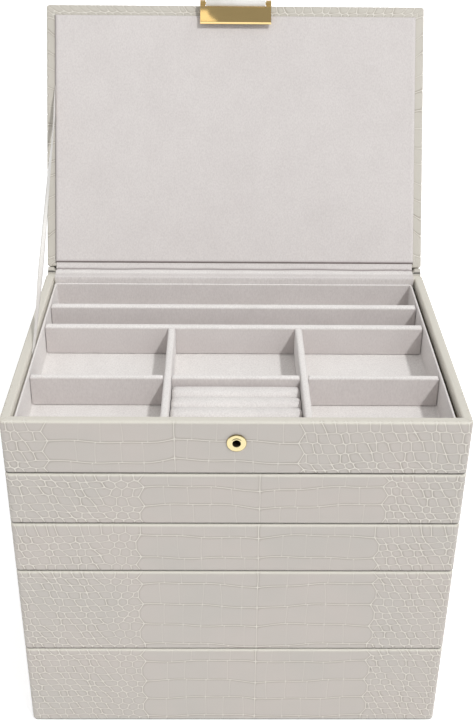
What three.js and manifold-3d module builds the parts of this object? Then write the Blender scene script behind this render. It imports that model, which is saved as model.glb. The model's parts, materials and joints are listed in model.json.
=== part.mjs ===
// Tiered jewelry box: four stacking trays under a lidded top tray, held open by a ribbon stay.
// Every tray is a board carcass with a leather wrap folded over its rim, a plinth that drops
// into the rim below, and a loose velvet liner with its dividers. The lid hangs on a leather
// spine and shuts with a hinged metal plate, whose stud presses into a socket on the front.
// Millimetres, +Z up, +Y to the back. The origin is the middle of the base plinth's underside.
import * as THREE from 'three';
import { mergeVertices } from 'three/addons/utils/BufferGeometryUtils.js';
import Module from 'manifold-3d';

// Stack
const boxWidth = 250;
const boxDepth = 180;
const shallowPitch = 34; // a shallow tray with the seat gap over it
const deepPitch = 60;
const seatGap = 0.3; // between a tray and the rim that it stands on
const fitGap = 0.3; // between pieces that are glued or slipped together
const cornerRadius = 3;
const innerCorner = 0.5; // least corner radius of anything inside a wall
const cornerSteps = 3;
const roundSegments = 8; // facets of a loop or an ear are twice this
const edgeSegments = 2; // the same for a divider's upper edges

// Wall and wrap
const rimWidth = 5.5;
const wrapThick = 0.8;
const rimRound = 1.2;
const turnIn = 7; // leather folded down inside the rim
const turnUnder = 6.2; // leather folded under the walls
const floorBoard = 4.4;
const plinthDrop = 3; // reach of the plinth below the wrap
const plinthChamfer = 0.6;

// Liner and dividers
const linerPlay = 1.4; // from the rim's inner side to the liner
const linerShift = -0.6; // the liner lies against the left of its play
const linerWall = 1.4;
const linerDrop = 3.4; // liner's edge below the rim
const linerFloor = 4.5; // card, foam and velvet
const dividerDrop = 4.4; // divider tops below the rim
const plainThick = 4; // dividers of the four lower trays
const longThick = 5; // dividers of the top tray
const columnThick = 4.4;
const crossThick = 3.8;
const rearDividerY = 53;
const frontDividerY = 25.6;
const columnX = 38.9;
const crossY = -35.3;
const rollDrop = 8.2; // roll tops below the rim
const rollRound = 3.2;
const rollBaseRound = 1;
const rollCrown = 0.5;
const rollCount = 4;
const rollSegments = 4;

// Lid
const lidThick = 6;
const lidSetback = 7.5; // shut lid's rear edge from the back of the box
const lidSeat = 0.3; // shut lid above the rim
const lidAngle = 117.3; // opening, in degrees, where the stay pulls tight
const hingeInset = 0.4; // turning line in front of the back of the box
const hingeDrop = 2.2; // turning line below the rim
const lidTurnIn = 14;
const padProud = 2.6; // pad's crown from the lid's border
const padSideInset = 6.4;
const padRearInset = 3.4;
const padFrontInset = 6.9;
const padCorner = 1.5;

// Clasp
const plateWidth = 46.6;
const plateThick = 1.6;
const plateReach = 13.4; // lower edge from the bar's middle
const plateTop = 2.1; // upper edge from the bar's middle
const plateBevel = 0.5;
const earWidth = 3.4;
const earRadius = 2;
const barRadius = 0.9;
const barReach = 6.3; // open lid: bar's middle proud of the lid's border
const barSetback = 0.2; // open lid: bar's middle behind the lid's edge
const strapPlay = 0.4; // between the strap and an ear
const strapThick = 0.9;
const strapFlap = 18; // strap glued on top of the lid
const studRadius = 1.8;
const studNeck = 1.4;
const studReach = 2.6; // tip from the back of the plate
const studFlange = 4.2;
const studFlangeThick = 0.6;
const socketDrop = 13; // socket's middle below the rim
const socketRadius = 5.35;
const socketProud = 1;
const socketBore = 2.3;
const socketTube = 3.4;
const socketLip = 0.5;
const socketSides = 28;
const barSides = 16;
const washerRadius = 5;
const drillLength = 20;

// Soft hinge and stay
const spineInset = 1.5; // spine's ends in from the sides of the box
const spineThick = 0.8;
const spineWallFlap = 12;
const spineLidFlap = 10;
const gussetThick = 0.8;
const gussetTuck = 14; // gusset pushed down behind the liner
const stayWidth = 9;
const stayThick = 0.3;
const stayLidReach = 111.5; // from the lid's rear edge, along the lid
const stayTrayY = 0; // where the stay's middle passes the rim
const stayTuck = 12; // length of the stay below the rim

// What follows from them
const lidDepth = boxDepth - lidSetback;
const spineWidth = boxWidth - 2 * spineInset;
const strapWidth = plateWidth - 2 * (earWidth + strapPlay);
const linerInset = rimWidth + linerPlay;
const boardInset = wrapThick + fitGap;
const floorTop = boardInset + floorBoard;
const linerBase = floorTop + fitGap;
const linerFloorTop = linerBase + linerFloor;
const padHalfWidth = boxWidth / 2 - padSideInset;
const boxSize = { width: boxWidth, depth: boxDepth, corner: cornerRadius };
const lidSize = { width: boxWidth, depth: lidDepth, corner: cornerRadius };
const inside = linerInset + linerWall + fitGap; // inset of a divider's end

const wasm = await Module();
wasm.setup();

const leather = finish(0xcfc9c0, 0.5, 0);
const rimLeather = finish(0xd8d2c4, 0.5, 0);
const velvet = finish(0xdad6d5, 0.95, 0);
const greyBoard = finish(0xa8977c, 0.85, 0);
const plinthCloth = finish(0xc9c4bf, 0.9, 0);
const gold = finish(0xb4935a, 0.25, 1);
const ribbonWhite = finish(0xf0eeea, 0.7, 0);

function finish(color, roughness, metalness) {
  return new THREE.MeshStandardMaterial({ color, roughness, metalness });
}

// Rounded rectangle of points, `inset` in from the outline of `size`, at height z
function ring(size, inset, z) {
  const radius = Math.max(size.corner - inset, innerCorner);
  const x = size.width / 2 - inset - radius;
  const y = size.depth / 2 - inset - radius;
  const points = [];
  for (let quarter = 0; quarter < 4; quarter++) {
    const cx = quarter === 0 || quarter === 3 ? x : -x;
    const cy = quarter < 2 ? y : -y;
    for (let step = 0; step <= cornerSteps; step++) {
      const angle = ((quarter + step / cornerSteps) * Math.PI) / 2;
      points.push([cx + radius * Math.cos(angle), cy + radius * Math.sin(angle), z]);
    }
  }
  return points;
}

// Skin over a row of rings; a closed row makes a frame, an open one is capped at both ends
function loft(rings, closed) {
  const count = rings[0].length;
  const index = [];
  const rows = closed ? rings.length : rings.length - 1;
  for (let row = 0; row < rows; row++) {
    const a = row * count;
    const b = ((row + 1) % rings.length) * count;
    for (let i = 0; i < count; i++) {
      const j = (i + 1) % count;
      index.push(a + i, a + j, b + j, a + i, b + j, b + i);
    }
  }
  if (!closed) {
    const last = (rings.length - 1) * count;
    for (let i = 1; i < count - 1; i++) {
      index.push(0, i + 1, i);
      index.push(last, last + i, last + i + 1);
    }
  }
  const geometry = new THREE.BufferGeometry();
  geometry.setAttribute('position', new THREE.Float32BufferAttribute(rings.flat(2), 3));
  geometry.setIndex(signedVolume(geometry, index) < 0 ? index.reverse() : index);
  geometry.computeVertexNormals();
  return geometry;
}

function signedVolume(geometry, index) {
  const position = geometry.getAttribute('position');
  const corner = (n) => new THREE.Vector3().fromBufferAttribute(position, index[n]);
  let volume = 0;
  for (let n = 0; n < index.length; n += 3) {
    volume += corner(n).dot(corner(n + 1).cross(corner(n + 2))) / 6;
  }
  return volume;
}

// A wall section given as [inset, z] pairs, carried round the outline of `size`
function sweep(size, section, closed) {
  return loft(section.map(([inset, z]) => ring(size, inset, z)), closed);
}

function arc(inset, z, radius, from, to, steps) {
  const points = [];
  for (let step = 0; step <= steps; step++) {
    const angle = THREE.MathUtils.degToRad(from + ((to - from) * step) / steps);
    points.push([inset + radius * Math.cos(angle), z + radius * Math.sin(angle)]);
  }
  return points;
}

// Closed outline of a strip of the given thickness along a path of [y, z] points
function stripOutline(path, thick) {
  const points = path.map(([y, z]) => new THREE.Vector2(y, z));
  const sides = points.map((point, i) => {
    const before = points[Math.max(i - 1, 0)];
    const after = points[Math.min(i + 1, points.length - 1)];
    const inDir = (i ? point.clone().sub(before) : after.clone().sub(point)).normalize();
    const outDir = (i < points.length - 1 ? after.clone().sub(point) : inDir.clone()).normalize();
    const along = inDir.clone().add(outDir).normalize();
    const stretch = 1 / along.dot(inDir);
    return new THREE.Vector2(-along.y, along.x).multiplyScalar((thick / 2) * stretch);
  });
  const left = points.map((point, i) => point.clone().add(sides[i]));
  const right = points.map((point, i) => point.clone().sub(sides[i]));
  return new THREE.Shape([...left, ...right.reverse()]);
}

// Extrudes a (y, z) outline along x, centred on `middle`
function alongX(shape, width, middle = 0, curveSegments = roundSegments) {
  const options = { depth: width, bevelEnabled: false, curveSegments };
  const geometry = new THREE.ExtrudeGeometry(shape, options);
  geometry.translate(0, 0, middle - width / 2);
  const turn = new THREE.Matrix4().makeBasis(
    new THREE.Vector3(0, 1, 0), new THREE.Vector3(0, 0, 1), new THREE.Vector3(1, 0, 0));
  return geometry.applyMatrix4(turn);
}

function toSolid(geometry) {
  const bare = geometry.clone();
  bare.deleteAttribute('normal');
  bare.deleteAttribute('uv');
  const merged = mergeVertices(bare);
  return new wasm.Manifold(new wasm.Mesh({
    numProp: 3,
    vertProperties: new Float32Array(merged.getAttribute('position').array),
    triVerts: new Uint32Array(merged.getIndex().array),
  }));
}

function toGeometry(solid) {
  const mesh = solid.getMesh();
  const geometry = new THREE.BufferGeometry();
  geometry.setAttribute('position', new THREE.BufferAttribute(new Float32Array(mesh.vertProperties), 3));
  geometry.setIndex([...mesh.triVerts]);
  geometry.computeVertexNormals();
  return geometry;
}

const box = new THREE.Group();

function add(parent, name, geometry, material, x = 0, y = 0, z = 0) {
  const mesh = new THREE.Mesh(geometry, material);
  mesh.name = name;
  mesh.position.set(x, y, z);
  parent.add(mesh);
  return mesh;
}

// Leather round a wall of the given height: under the wall, up the face, over the rim and in
function wrapGeometry(height) {
  const top = height - rimRound;
  const innerRound = rimRound - wrapThick;
  const outer = [
    [turnUnder, 0],
    ...arc(rimRound, rimRound, rimRound, 270, 180, 2),
    ...arc(rimRound, top, rimRound, 180, 90, 3),
    ...arc(rimWidth - rimRound, top, rimRound, 90, 0, 3),
    [rimWidth, height - turnIn],
  ];
  const inner = [
    [rimWidth - wrapThick, height - turnIn],
    ...arc(rimWidth - rimRound, top, innerRound, 0, 90, 1),
    ...arc(rimRound, top, innerRound, 90, 180, 1),
    ...arc(rimRound, rimRound, innerRound, 180, 270, 1),
    [turnUnder, wrapThick],
  ];
  return sweep(boxSize, [...outer, ...inner], true);
}

// Board walls and floor, as one tray inside the wrap
function carcassGeometry(height) {
  const wallInner = rimWidth - boardInset;
  return sweep(boxSize, [
    [boardInset, boardInset],
    [boardInset, height - boardInset],
    [wallInner, height - boardInset],
    [wallInner, floorTop],
  ], false);
}

function plinthGeometry() {
  const side = turnUnder + fitGap;
  return sweep(boxSize, [
    [side + plinthChamfer, -plinthDrop],
    [side, plinthChamfer - plinthDrop],
    [side, wrapThick],
  ], false);
}

// Thin velvet tray; the upper edge is rolled
function linerGeometry(height) {
  const edge = height - linerDrop;
  const roll = linerWall / 2;
  return sweep(boxSize, [
    [linerInset, linerBase],
    ...arc(linerInset + roll, edge - roll, roll, 180, 0, 4),
    [linerInset + linerWall, linerFloorTop],
  ], false);
}

// Share of a divider's half thickness that its upper edges are rounded by
const dividerRoundShare = 0.7;

// Upright divider, running along x: flat sides and a rounded velvet top
function dividerGeometry(length, thick, height) {
  const half = thick / 2;
  const round = half * dividerRoundShare;
  const shape = new THREE.Shape();
  shape.moveTo(-half, 0);
  shape.lineTo(half, 0);
  shape.lineTo(half, height - round);
  shape.absarc(half - round, height - round, round, 0, Math.PI / 2, false);
  shape.absarc(round - half, height - round, round, Math.PI / 2, Math.PI, false);
  return alongX(shape, length, 0, edgeSegments);
}

// Rigid pieces that every tray has; returns the group that its dividers go into
function addTray(name, base, pitch) {
  const height = pitch - seatGap;
  const group = new THREE.Group();
  group.position.z = base;
  box.add(group);
  add(group, `${name}_carcass`, carcassGeometry(height), greyBoard);
  add(group, `${name}_wrap`, wrapGeometry(height), leather);
  add(group, `${name}_plinth`, plinthGeometry(), plinthCloth);
  add(group, `${name}_liner`, linerGeometry(height), velvet, linerShift);
  return group;
}

// Inner space of a tray, where the dividers stand
const space = {
  left: linerShift - boxWidth / 2 + inside,
  right: linerShift + boxWidth / 2 - inside,
  front: inside - boxDepth / 2,
  back: boxDepth / 2 - inside,
};

function dividerHeight(pitch) {
  return pitch - seatGap - dividerDrop - linerFloorTop - fitGap;
}

// Divider across the box at y, from x0 to x1
function addCross(group, name, pitch, thick, y, x0, x1) {
  const geometry = dividerGeometry(x1 - x0, thick, dividerHeight(pitch));
  add(group, name, geometry, velvet, (x0 + x1) / 2, y, linerFloorTop + fitGap);
}

// Divider from front to back at x, from y0 to y1
function addColumn(group, name, pitch, thick, x, y0, y1) {
  const geometry = dividerGeometry(y1 - y0, thick, dividerHeight(pitch));
  const mesh = add(group, name, geometry, velvet, x, (y0 + y1) / 2, linerFloorTop + fitGap);
  mesh.rotation.z = Math.PI / 2;
}

// Heights of the trays' wraps above the ground
const bases = [plinthDrop];
for (const pitch of [deepPitch, deepPitch, shallowPitch, shallowPitch]) {
  bases.push(bases.at(-1) + pitch);
}
const rim = bases[4] + shallowPitch - seatGap; // top of the uppermost rim

// Lower trays: few, wide compartments
const baseShare = 0.5;
const lowerColumnShare = 0.46;
const lowerCrossShare = 0.5;
const middleShare = 0.32;
const upperCrossShare = 0.5;
const upperColumnShare = 0.3;
const depthAt = (share) => space.front + (space.back - space.front) * share;
const widthAt = (share) => space.left + (space.right - space.left) * share;
const beside = plainThick / 2 + fitGap;

function addLowerTrays() {
  const base = addTray('base_tray', bases[0], deepPitch);
  const baseY = depthAt(baseShare);
  addCross(base, 'base_tray_divider', deepPitch, plainThick, baseY, space.left, space.right);

  const lower = addTray('lower_tray', bases[1], deepPitch);
  const lowerX = widthAt(lowerColumnShare);
  addColumn(lower, 'lower_tray_column', deepPitch, plainThick, lowerX, space.front, space.back);
  const lowerY = depthAt(lowerCrossShare);
  addCross(lower, 'lower_tray_cross', deepPitch, plainThick, lowerY, lowerX + beside, space.right);

  const middle = addTray('middle_tray', bases[2], shallowPitch);
  const pair = [['left', middleShare], ['right', 1 - middleShare]];
  for (const [side, share] of pair) {
    const x = widthAt(share);
    addColumn(middle, `middle_tray_column_${side}`, shallowPitch, plainThick, x, space.front, space.back);
  }

  const upper = addTray('upper_tray', bases[3], shallowPitch);
  const upperY = depthAt(upperCrossShare);
  addCross(upper, 'upper_tray_divider', shallowPitch, plainThick, upperY, space.left, space.right);
  const columns = [['left', upperColumnShare], ['right', 1 - upperColumnShare]];
  for (const [side, share] of columns) {
    const x = widthAt(share);
    const name = `upper_tray_column_${side}`;
    addColumn(upper, name, shallowPitch, plainThick, x, space.front, upperY - beside);
  }
}

// Top tray: two long dividers behind three columns, with ring rolls at the middle front
const sameSpot = 0.01; // points of an outline this close are one

function addTopDividers(group) {
  const { left, right, front } = space;
  const rows = [['rear', rearDividerY], ['front', frontDividerY]];
  for (const [place, y] of rows) {
    addCross(group, `long_divider_${place}`, shallowPitch, longThick, y, left, right);
  }
  const columnEnd = frontDividerY - longThick / 2 - fitGap;
  for (const [side, x] of [['left', -columnX], ['right', columnX]]) {
    addColumn(group, `column_divider_${side}`, shallowPitch, columnThick, x, front, columnEnd);
  }
  const clear = columnThick / 2 + fitGap;
  const bays = [
    ['left', left, -columnX - clear],
    ['middle', clear - columnX, columnX - clear],
    ['right', columnX + clear, right],
  ];
  for (const [place, x0, x1] of bays) {
    addCross(group, `cross_divider_${place}`, shallowPitch, crossThick, crossY, x0, x1);
  }
}

// Section of a foam roll under velvet: rounded shoulders and a slight crown
function rollSection(width, height) {
  const half = width / 2;
  const shoulder = height - rollRound - rollCrown;
  const shape = new THREE.Shape();
  shape.moveTo(rollBaseRound - half, 0);
  shape.lineTo(half - rollBaseRound, 0);
  shape.absarc(half - rollBaseRound, rollBaseRound, rollBaseRound, -Math.PI / 2, 0, false);
  shape.lineTo(half, shoulder);
  shape.bezierCurveTo(half, height - rollCrown, half - rollRound / 2, height, 0, height);
  shape.bezierCurveTo(rollRound / 2 - half, height, -half, height - rollCrown, -half, shoulder);
  shape.lineTo(-half, rollBaseRound);
  shape.absarc(rollBaseRound - half, rollBaseRound, rollBaseRound, Math.PI, 1.5 * Math.PI, false);
  const points = shape.getPoints(rollSegments);
  return points.filter((point, i) => point.distanceTo(points.at(i - 1)) > sameSpot);
}

// The section carried along x and drawn in at both ends
function rollGeometry(length, width, height) {
  const section = rollSection(width, height);
  const end = length / 2;
  const stations = [
    [-end, rollBaseRound], [rollBaseRound / 2 - end, rollBaseRound / 3], [rollBaseRound - end, 0],
  ];
  const mirrored = stations.map(([x, shrink]) => [-x, shrink]).reverse();
  const rings = [...stations, ...mirrored].map(([x, shrink]) => section.map((point) => [
    x,
    point.x * (1 - (2 * shrink) / width),
    height / 2 + (point.y - height / 2) * (1 - (2 * shrink) / height),
  ]));
  return loft(rings, false);
}

function addRolls(group) {
  const clear = columnThick / 2 + fitGap;
  const length = 2 * (columnX - clear);
  const back = crossY - crossThick / 2 - fitGap;
  const pitch = (back - space.front + fitGap) / rollCount;
  const height = shallowPitch - seatGap - rollDrop - linerFloorTop - fitGap;
  for (let n = 0; n < rollCount; n++) {
    const y = back - (n + 0.5) * pitch + fitGap / 2;
    const geometry = rollGeometry(length, pitch - fitGap, height);
    add(group, `ring_roll_${n + 1}`, geometry, velvet, 0, y, linerFloorTop + fitGap);
  }
}

// Turned shape about an axis that points to the front (-y), from [radius, reach] pairs
function turned(profile, sides) {
  const points = profile.map(([radius, reach]) => new THREE.Vector2(radius, reach));
  const geometry = new THREE.LatheGeometry([...points, points[0]], sides);
  return geometry.rotateX(Math.PI);
}

// Socket let into the front wall: flange with a rolled lip, and a tube through the board
function socketGeometry() {
  const flange = fitGap + socketProud;
  const tubeEnd = -(rimWidth - wrapThick);
  return turned([
    [socketBore, tubeEnd],
    [socketTube, tubeEnd],
    [socketTube, fitGap],
    [socketRadius, fitGap],
    [socketRadius, fitGap + socketLip],
    [socketRadius - socketLip, flange - socketLip / 2],
    [socketBore + 2 * socketLip, flange - socketLip / 2],
    [socketBore + socketLip, flange],
    [socketBore, flange],
  ], socketSides);
}

function addSocket(group) {
  const z = shallowPitch - seatGap - socketDrop;
  const face = -boxDepth / 2;
  add(group, 'snap_socket', socketGeometry(), gold, 0, face, z);
  const near = -(rimWidth - boardInset + fitGap);
  const washer = turned([
    [socketTube + fitGap, near - wrapThick],
    [washerRadius, near - wrapThick],
    [washerRadius, near],
    [socketTube + fitGap, near],
  ], socketSides);
  add(group, 'socket_washer', washer, gold, 0, face, z);
}

// Round hole through the front wall for the socket's tube
function drillFront(group, name) {
  const mesh = group.children.find((child) => child.name === name);
  const drill = new THREE.CylinderGeometry(
    socketTube + fitGap, socketTube + fitGap, drillLength, socketSides);
  drill.translate(0, -boxDepth / 2, shallowPitch - seatGap - socketDrop);
  mesh.geometry = toGeometry(toSolid(mesh.geometry).subtract(toSolid(drill)));
}

addLowerTrays();
const topTray = addTray('top_tray', bases[4], shallowPitch);
addTopDividers(topTray);
addRolls(topTray);
drillFront(topTray, 'top_tray_wrap');
drillFront(topTray, 'top_tray_carcass');
addSocket(topTray);

// The lid is drawn shut, about its turning line, and then opened
const hinge = { y: boxDepth / 2 - hingeInset, z: rim - hingeDrop };
const lid = new THREE.Group();
lid.position.set(0, hinge.y, hinge.z);
lid.rotation.x = -THREE.MathUtils.degToRad(lidAngle);
box.add(lid);
const lidPlace = { y: -lidSetback / 2 - hinge.y, z: rim + lidSeat - hinge.z };

// Leather over the outer face and the edges, folded in round the border of the inner face
function lidWrapGeometry() {
  const innerRound = rimRound - wrapThick;
  return sweep(lidSize, [
    ...arc(rimRound, lidThick - rimRound, rimRound, 90, 180, 3),
    ...arc(rimRound, rimRound, rimRound, 180, 270, 3),
    [lidTurnIn, 0],
    [lidTurnIn, wrapThick],
    ...arc(rimRound, rimRound, innerRound, 270, 180, 1),
    ...arc(rimRound, lidThick - rimRound, innerRound, 180, 90, 1),
  ], false);
}

function lidBoardGeometry() {
  return sweep(lidSize, [
    [boardInset, boardInset],
    [boardInset, lidThick - boardInset],
  ], false);
}

// Velvet pad with rolled edges and a low crown; the shares are [height, inset] up its side
const padEdgeShares = [[0.35, 0], [0.65, 0.08], [0.85, 0.3], [0.95, 1], [1, 4]];
function padGeometry() {
  const depth = lidDepth - padRearInset - padFrontInset;
  const size = { width: 2 * padHalfWidth, depth, corner: padCorner };
  const height = padProud - fitGap;
  const rolled = padEdgeShares.map(([up, inward]) => [padSideInset * inward, -fitGap - height * up]);
  return sweep(size, [[0, -fitGap], ...rolled], false);
}

// Strap: glued over the lid's front edge, and looped round the bar. When the lid shuts, it bends
// down round that edge and takes the bar through a quarter turn to the front of the box.
function strapGeometry() {
  const edge = -lidDepth / 2;
  const top = lidThick + fitGap;
  const barY = edge + barSetback;
  const loop = barRadius + fitGap + strapThick;
  const inner = edge - fitGap;
  const meet = Math.acos((inner - barY) / loop); // where the loop comes back to the strap
  const shape = new THREE.Shape();
  shape.moveTo(edge + strapFlap, top + strapThick);
  shape.lineTo(inner, top + strapThick);
  shape.lineTo(inner - strapThick, top);
  shape.lineTo(barY - loop, -barReach);
  shape.absarc(barY, -barReach, loop, Math.PI, 2 * Math.PI + meet, false);
  shape.lineTo(inner, 0);
  shape.lineTo(inner, top);
  shape.lineTo(edge + strapFlap, top);
  const hole = new THREE.Path();
  hole.absarc(barY, -barReach, barRadius + fitGap, 0, 2 * Math.PI, true);
  shape.holes.push(hole);
  return alongX(shape, strapWidth);
}

function addLid() {
  const { y, z } = lidPlace;
  add(lid, 'lid_board', lidBoardGeometry(), greyBoard, 0, y, z);
  add(lid, 'lid_wrap', lidWrapGeometry(), rimLeather, 0, y, z);
  const padY = y + (padFrontInset - padRearInset) / 2;
  add(lid, 'lid_pad', padGeometry(), velvet, 0, padY, z);
  add(lid, 'clasp_strap', strapGeometry(), leather, 0, y, z);
}

// Clasp plate, flat beside the pad: ears round the bar's ends and a bevelled face
function plateGeometry() {
  const half = plateThick / 2;
  const section = new THREE.Shape([
    new THREE.Vector2(plateTop, half),
    new THREE.Vector2(plateTop, plateBevel - half),
    new THREE.Vector2(plateTop + plateBevel, -half),
    new THREE.Vector2(plateReach - 2 * plateBevel, -half),
    new THREE.Vector2(plateReach, plateBevel - half),
    new THREE.Vector2(plateReach, half),
  ]);
  let solid = toSolid(alongX(section, plateWidth));
  for (const side of [-1, 1]) {
    const ear = new THREE.Shape();
    ear.absarc(0, 0, earRadius, Math.PI / 6, 1.5 * Math.PI, false);
    ear.lineTo(plateTop + plateBevel, -half);
    ear.lineTo(plateTop + plateBevel, half);
    const hole = new THREE.Path();
    hole.absarc(0, 0, barRadius + fitGap, 0, 2 * Math.PI, true);
    ear.holes.push(hole);
    const middle = side * (plateWidth - earWidth) / 2;
    solid = solid.add(toSolid(alongX(ear, earWidth, middle)));
  }
  return toGeometry(solid);
}

// Press stud: flange against the plate, neck and rounded head
function studGeometry() {
  const profile = [
    [0, fitGap],
    [studFlange, fitGap],
    [studFlange, fitGap + studFlangeThick / 2],
    [studFlange - studFlangeThick, fitGap + studFlangeThick],
    [studNeck, fitGap + studFlangeThick],
    [studNeck, (fitGap + studFlangeThick + studReach) / 2],
    [studRadius, studReach - (studRadius - studNeck)],
    [studNeck, studReach],
    [0, studReach],
  ];
  const points = profile.map(([radius, reach]) => new THREE.Vector2(radius, reach));
  return new THREE.LatheGeometry(points, socketSides).rotateX(Math.PI / 2);
}

function addClasp() {
  const clasp = new THREE.Group();
  const barY = lidPlace.y - lidDepth / 2 + barSetback;
  clasp.position.set(0, barY, lidPlace.z - barReach);
  lid.add(clasp);
  const bar = new THREE.CylinderGeometry(barRadius, barRadius, plateWidth - 2 * fitGap, barSides);
  add(clasp, 'clasp_bar', bar.rotateZ(Math.PI / 2), gold);
  add(clasp, 'clasp_plate', plateGeometry(), gold);
  const shutBarDrop = barReach - lidSeat; // shut lid: bar's middle below the rim
  add(clasp, 'clasp_stud', studGeometry(), gold, 0, socketDrop - shutBarDrop, plateThick / 2);
}

addLid();
addClasp();

// Places on the open lid: `along` from its rear edge and `proud` of its inner face, as [y, z]
function onOpenLid(along, proud) {
  const shut = new THREE.Vector3(0, lidPlace.y + lidDepth / 2 - along, lidPlace.z - proud);
  const open = shut.applyAxisAngle(new THREE.Vector3(1, 0, 0), lid.rotation.x);
  return [open.y + hinge.y, open.z + hinge.z];
}

// Leather spine: glued on the back wall, across under the lid's edge, and up its outer face
function spineGeometry() {
  const off = fitGap + spineThick / 2;
  const wall = boxDepth / 2 + off;
  const corner = onOpenLid(-off / 2, -lidThick - off / 2);
  return alongX(stripOutline([
    [wall, rim - spineWallFlap],
    [wall, rim - spineThick],
    [wall + spineThick, rim],
    [corner[0] - spineThick, corner[1] - off],
    corner,
    onOpenLid(spineLidFlap, -lidThick - off),
  ], spineThick), spineWidth);
}

// Velvet gusset: up behind the liner, over the rear rim, and on to the lid as far as the pad
function gussetGeometry() {
  const off = fitGap + gussetThick / 2;
  const wall = boxDepth / 2 - rimWidth - off;
  return alongX(stripOutline([
    [wall, rim - gussetTuck],
    [wall, rim],
    [wall + off, rim + off],
    [boxDepth / 2, rim + off],
    onOpenLid(0, off),
    onOpenLid(padRearInset - fitGap, off),
  ], gussetThick), 2 * padHalfWidth);
}

// Ribbon stay: straight from the lid's border down between the left wall and the liner
function stayGeometry() {
  const x = -(boxWidth / 2 - rimWidth) + fitGap;
  const place = (along) => new THREE.Vector2(...onOpenLid(along, fitGap));
  const foot = new THREE.Vector2(stayTrayY, rim);
  const run = place(stayLidReach).sub(foot).normalize();
  const lidRun = place(stayLidReach).sub(place(0)).normalize();
  const spread = stayWidth / 2 / Math.abs(run.cross(lidRun));
  const low = foot.addScaledVector(run, -stayTuck);
  const side = new THREE.Vector2(-run.y, run.x).multiplyScalar(stayWidth / 2);
  const outline = [
    low.clone().sub(side),
    place(stayLidReach - spread),
    place(stayLidReach + spread),
    low.clone().add(side),
  ];
  return alongX(new THREE.Shape(outline), stayThick, x);
}

add(box, 'hinge_spine', spineGeometry(), leather);
add(box, 'hinge_gusset', gussetGeometry(), velvet);
add(box, 'lid_stay', stayGeometry(), ribbonWhite);

export default box;
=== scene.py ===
# Tiered jewelry box: leather, velvet, ribbon and gold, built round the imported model
import bisect
import json
import math
import random
import bpy
import bmesh
from mathutils import Matrix, Vector, noise
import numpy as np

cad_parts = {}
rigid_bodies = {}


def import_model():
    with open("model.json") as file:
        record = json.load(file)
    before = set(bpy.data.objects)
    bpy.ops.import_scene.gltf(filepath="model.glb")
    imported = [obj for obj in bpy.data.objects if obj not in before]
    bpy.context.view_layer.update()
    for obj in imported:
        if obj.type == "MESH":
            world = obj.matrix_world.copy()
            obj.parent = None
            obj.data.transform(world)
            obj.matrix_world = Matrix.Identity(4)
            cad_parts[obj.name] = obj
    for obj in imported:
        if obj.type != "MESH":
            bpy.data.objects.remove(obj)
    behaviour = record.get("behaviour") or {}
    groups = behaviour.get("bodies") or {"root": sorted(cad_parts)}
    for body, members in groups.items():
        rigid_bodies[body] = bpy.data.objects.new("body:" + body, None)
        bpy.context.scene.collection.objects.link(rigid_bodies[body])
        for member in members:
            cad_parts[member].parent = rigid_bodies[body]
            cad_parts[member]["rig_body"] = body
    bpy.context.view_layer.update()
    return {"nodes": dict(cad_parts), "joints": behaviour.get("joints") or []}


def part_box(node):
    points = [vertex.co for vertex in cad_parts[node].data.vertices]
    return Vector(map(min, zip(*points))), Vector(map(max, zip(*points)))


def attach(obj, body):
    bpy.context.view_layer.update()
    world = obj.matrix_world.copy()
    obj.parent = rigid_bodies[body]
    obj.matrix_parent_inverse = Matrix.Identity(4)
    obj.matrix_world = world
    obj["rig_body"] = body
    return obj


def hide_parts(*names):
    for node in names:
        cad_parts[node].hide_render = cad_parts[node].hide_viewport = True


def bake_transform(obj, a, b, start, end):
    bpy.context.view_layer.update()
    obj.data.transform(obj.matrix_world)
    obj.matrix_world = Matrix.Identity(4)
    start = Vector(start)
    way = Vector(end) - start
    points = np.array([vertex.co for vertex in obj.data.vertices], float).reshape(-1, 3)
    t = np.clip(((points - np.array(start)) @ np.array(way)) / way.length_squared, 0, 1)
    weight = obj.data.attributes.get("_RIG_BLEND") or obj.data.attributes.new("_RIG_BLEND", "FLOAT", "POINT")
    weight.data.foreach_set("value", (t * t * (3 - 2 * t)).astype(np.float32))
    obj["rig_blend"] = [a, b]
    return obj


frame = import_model()
mm = 0.001
trays = ["base_tray", "lower_tray", "middle_tray", "upper_tray", "top_tray"]
print("frame loaded:", len(frame["nodes"]), "nodes")


def nodeBox(node):  # lowest and highest corner, in millimetres
    low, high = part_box(node)
    return Vector(low) / mm, Vector(high) / mm


def jointNamed(name):
    return next(joint for joint in frame["joints"] if joint["name"] == name)


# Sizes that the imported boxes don't tell, in millimetres as in the model
board = {
    "corner": 3, "leastCorner": 0.5, "rimWidth": 5.5, "skin": 0.8, "round": 1.2,
    "flatFrom": 0.8, "turnIn": 7, "turnUnder": 6.2, "seat": 0.3,
    "lidSetback": 7.5, "lidThick": 6, "lidTurnIn": 14, "lidCorner": 1.7,
}
wrapLow, wrapHigh = nodeBox("top_tray_wrap")
boxWidth = wrapHigh.x - wrapLow.x
boxDepth = wrapHigh.y - wrapLow.y
rimZ = wrapHigh.z
sunFrom = Vector((0.36, -0.60, 0.71))  # the key light's side, which the pad's shading follows too
lidDepth = boxDepth - board["lidSetback"]

# The lid's pieces are drawn shut, and opened as the photograph has them
lidHinge = jointNamed("lid_hinge")
hingePoint = Matrix.Translation([value / mm for value in lidHinge["pos_m"]])
openTurn = Matrix.Rotation(-math.radians(lidHinge["range_deg"][1]), 4, "X")
openLid = hingePoint @ openTurn @ hingePoint.inverted()


def onLid(x, along, proud):  # a place on the open lid, from its rear edge and off its inner face
    return openLid @ Vector((x, boxDepth / 2 - board["lidSetback"] - along, rimZ + board["seat"] - proud))


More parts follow.
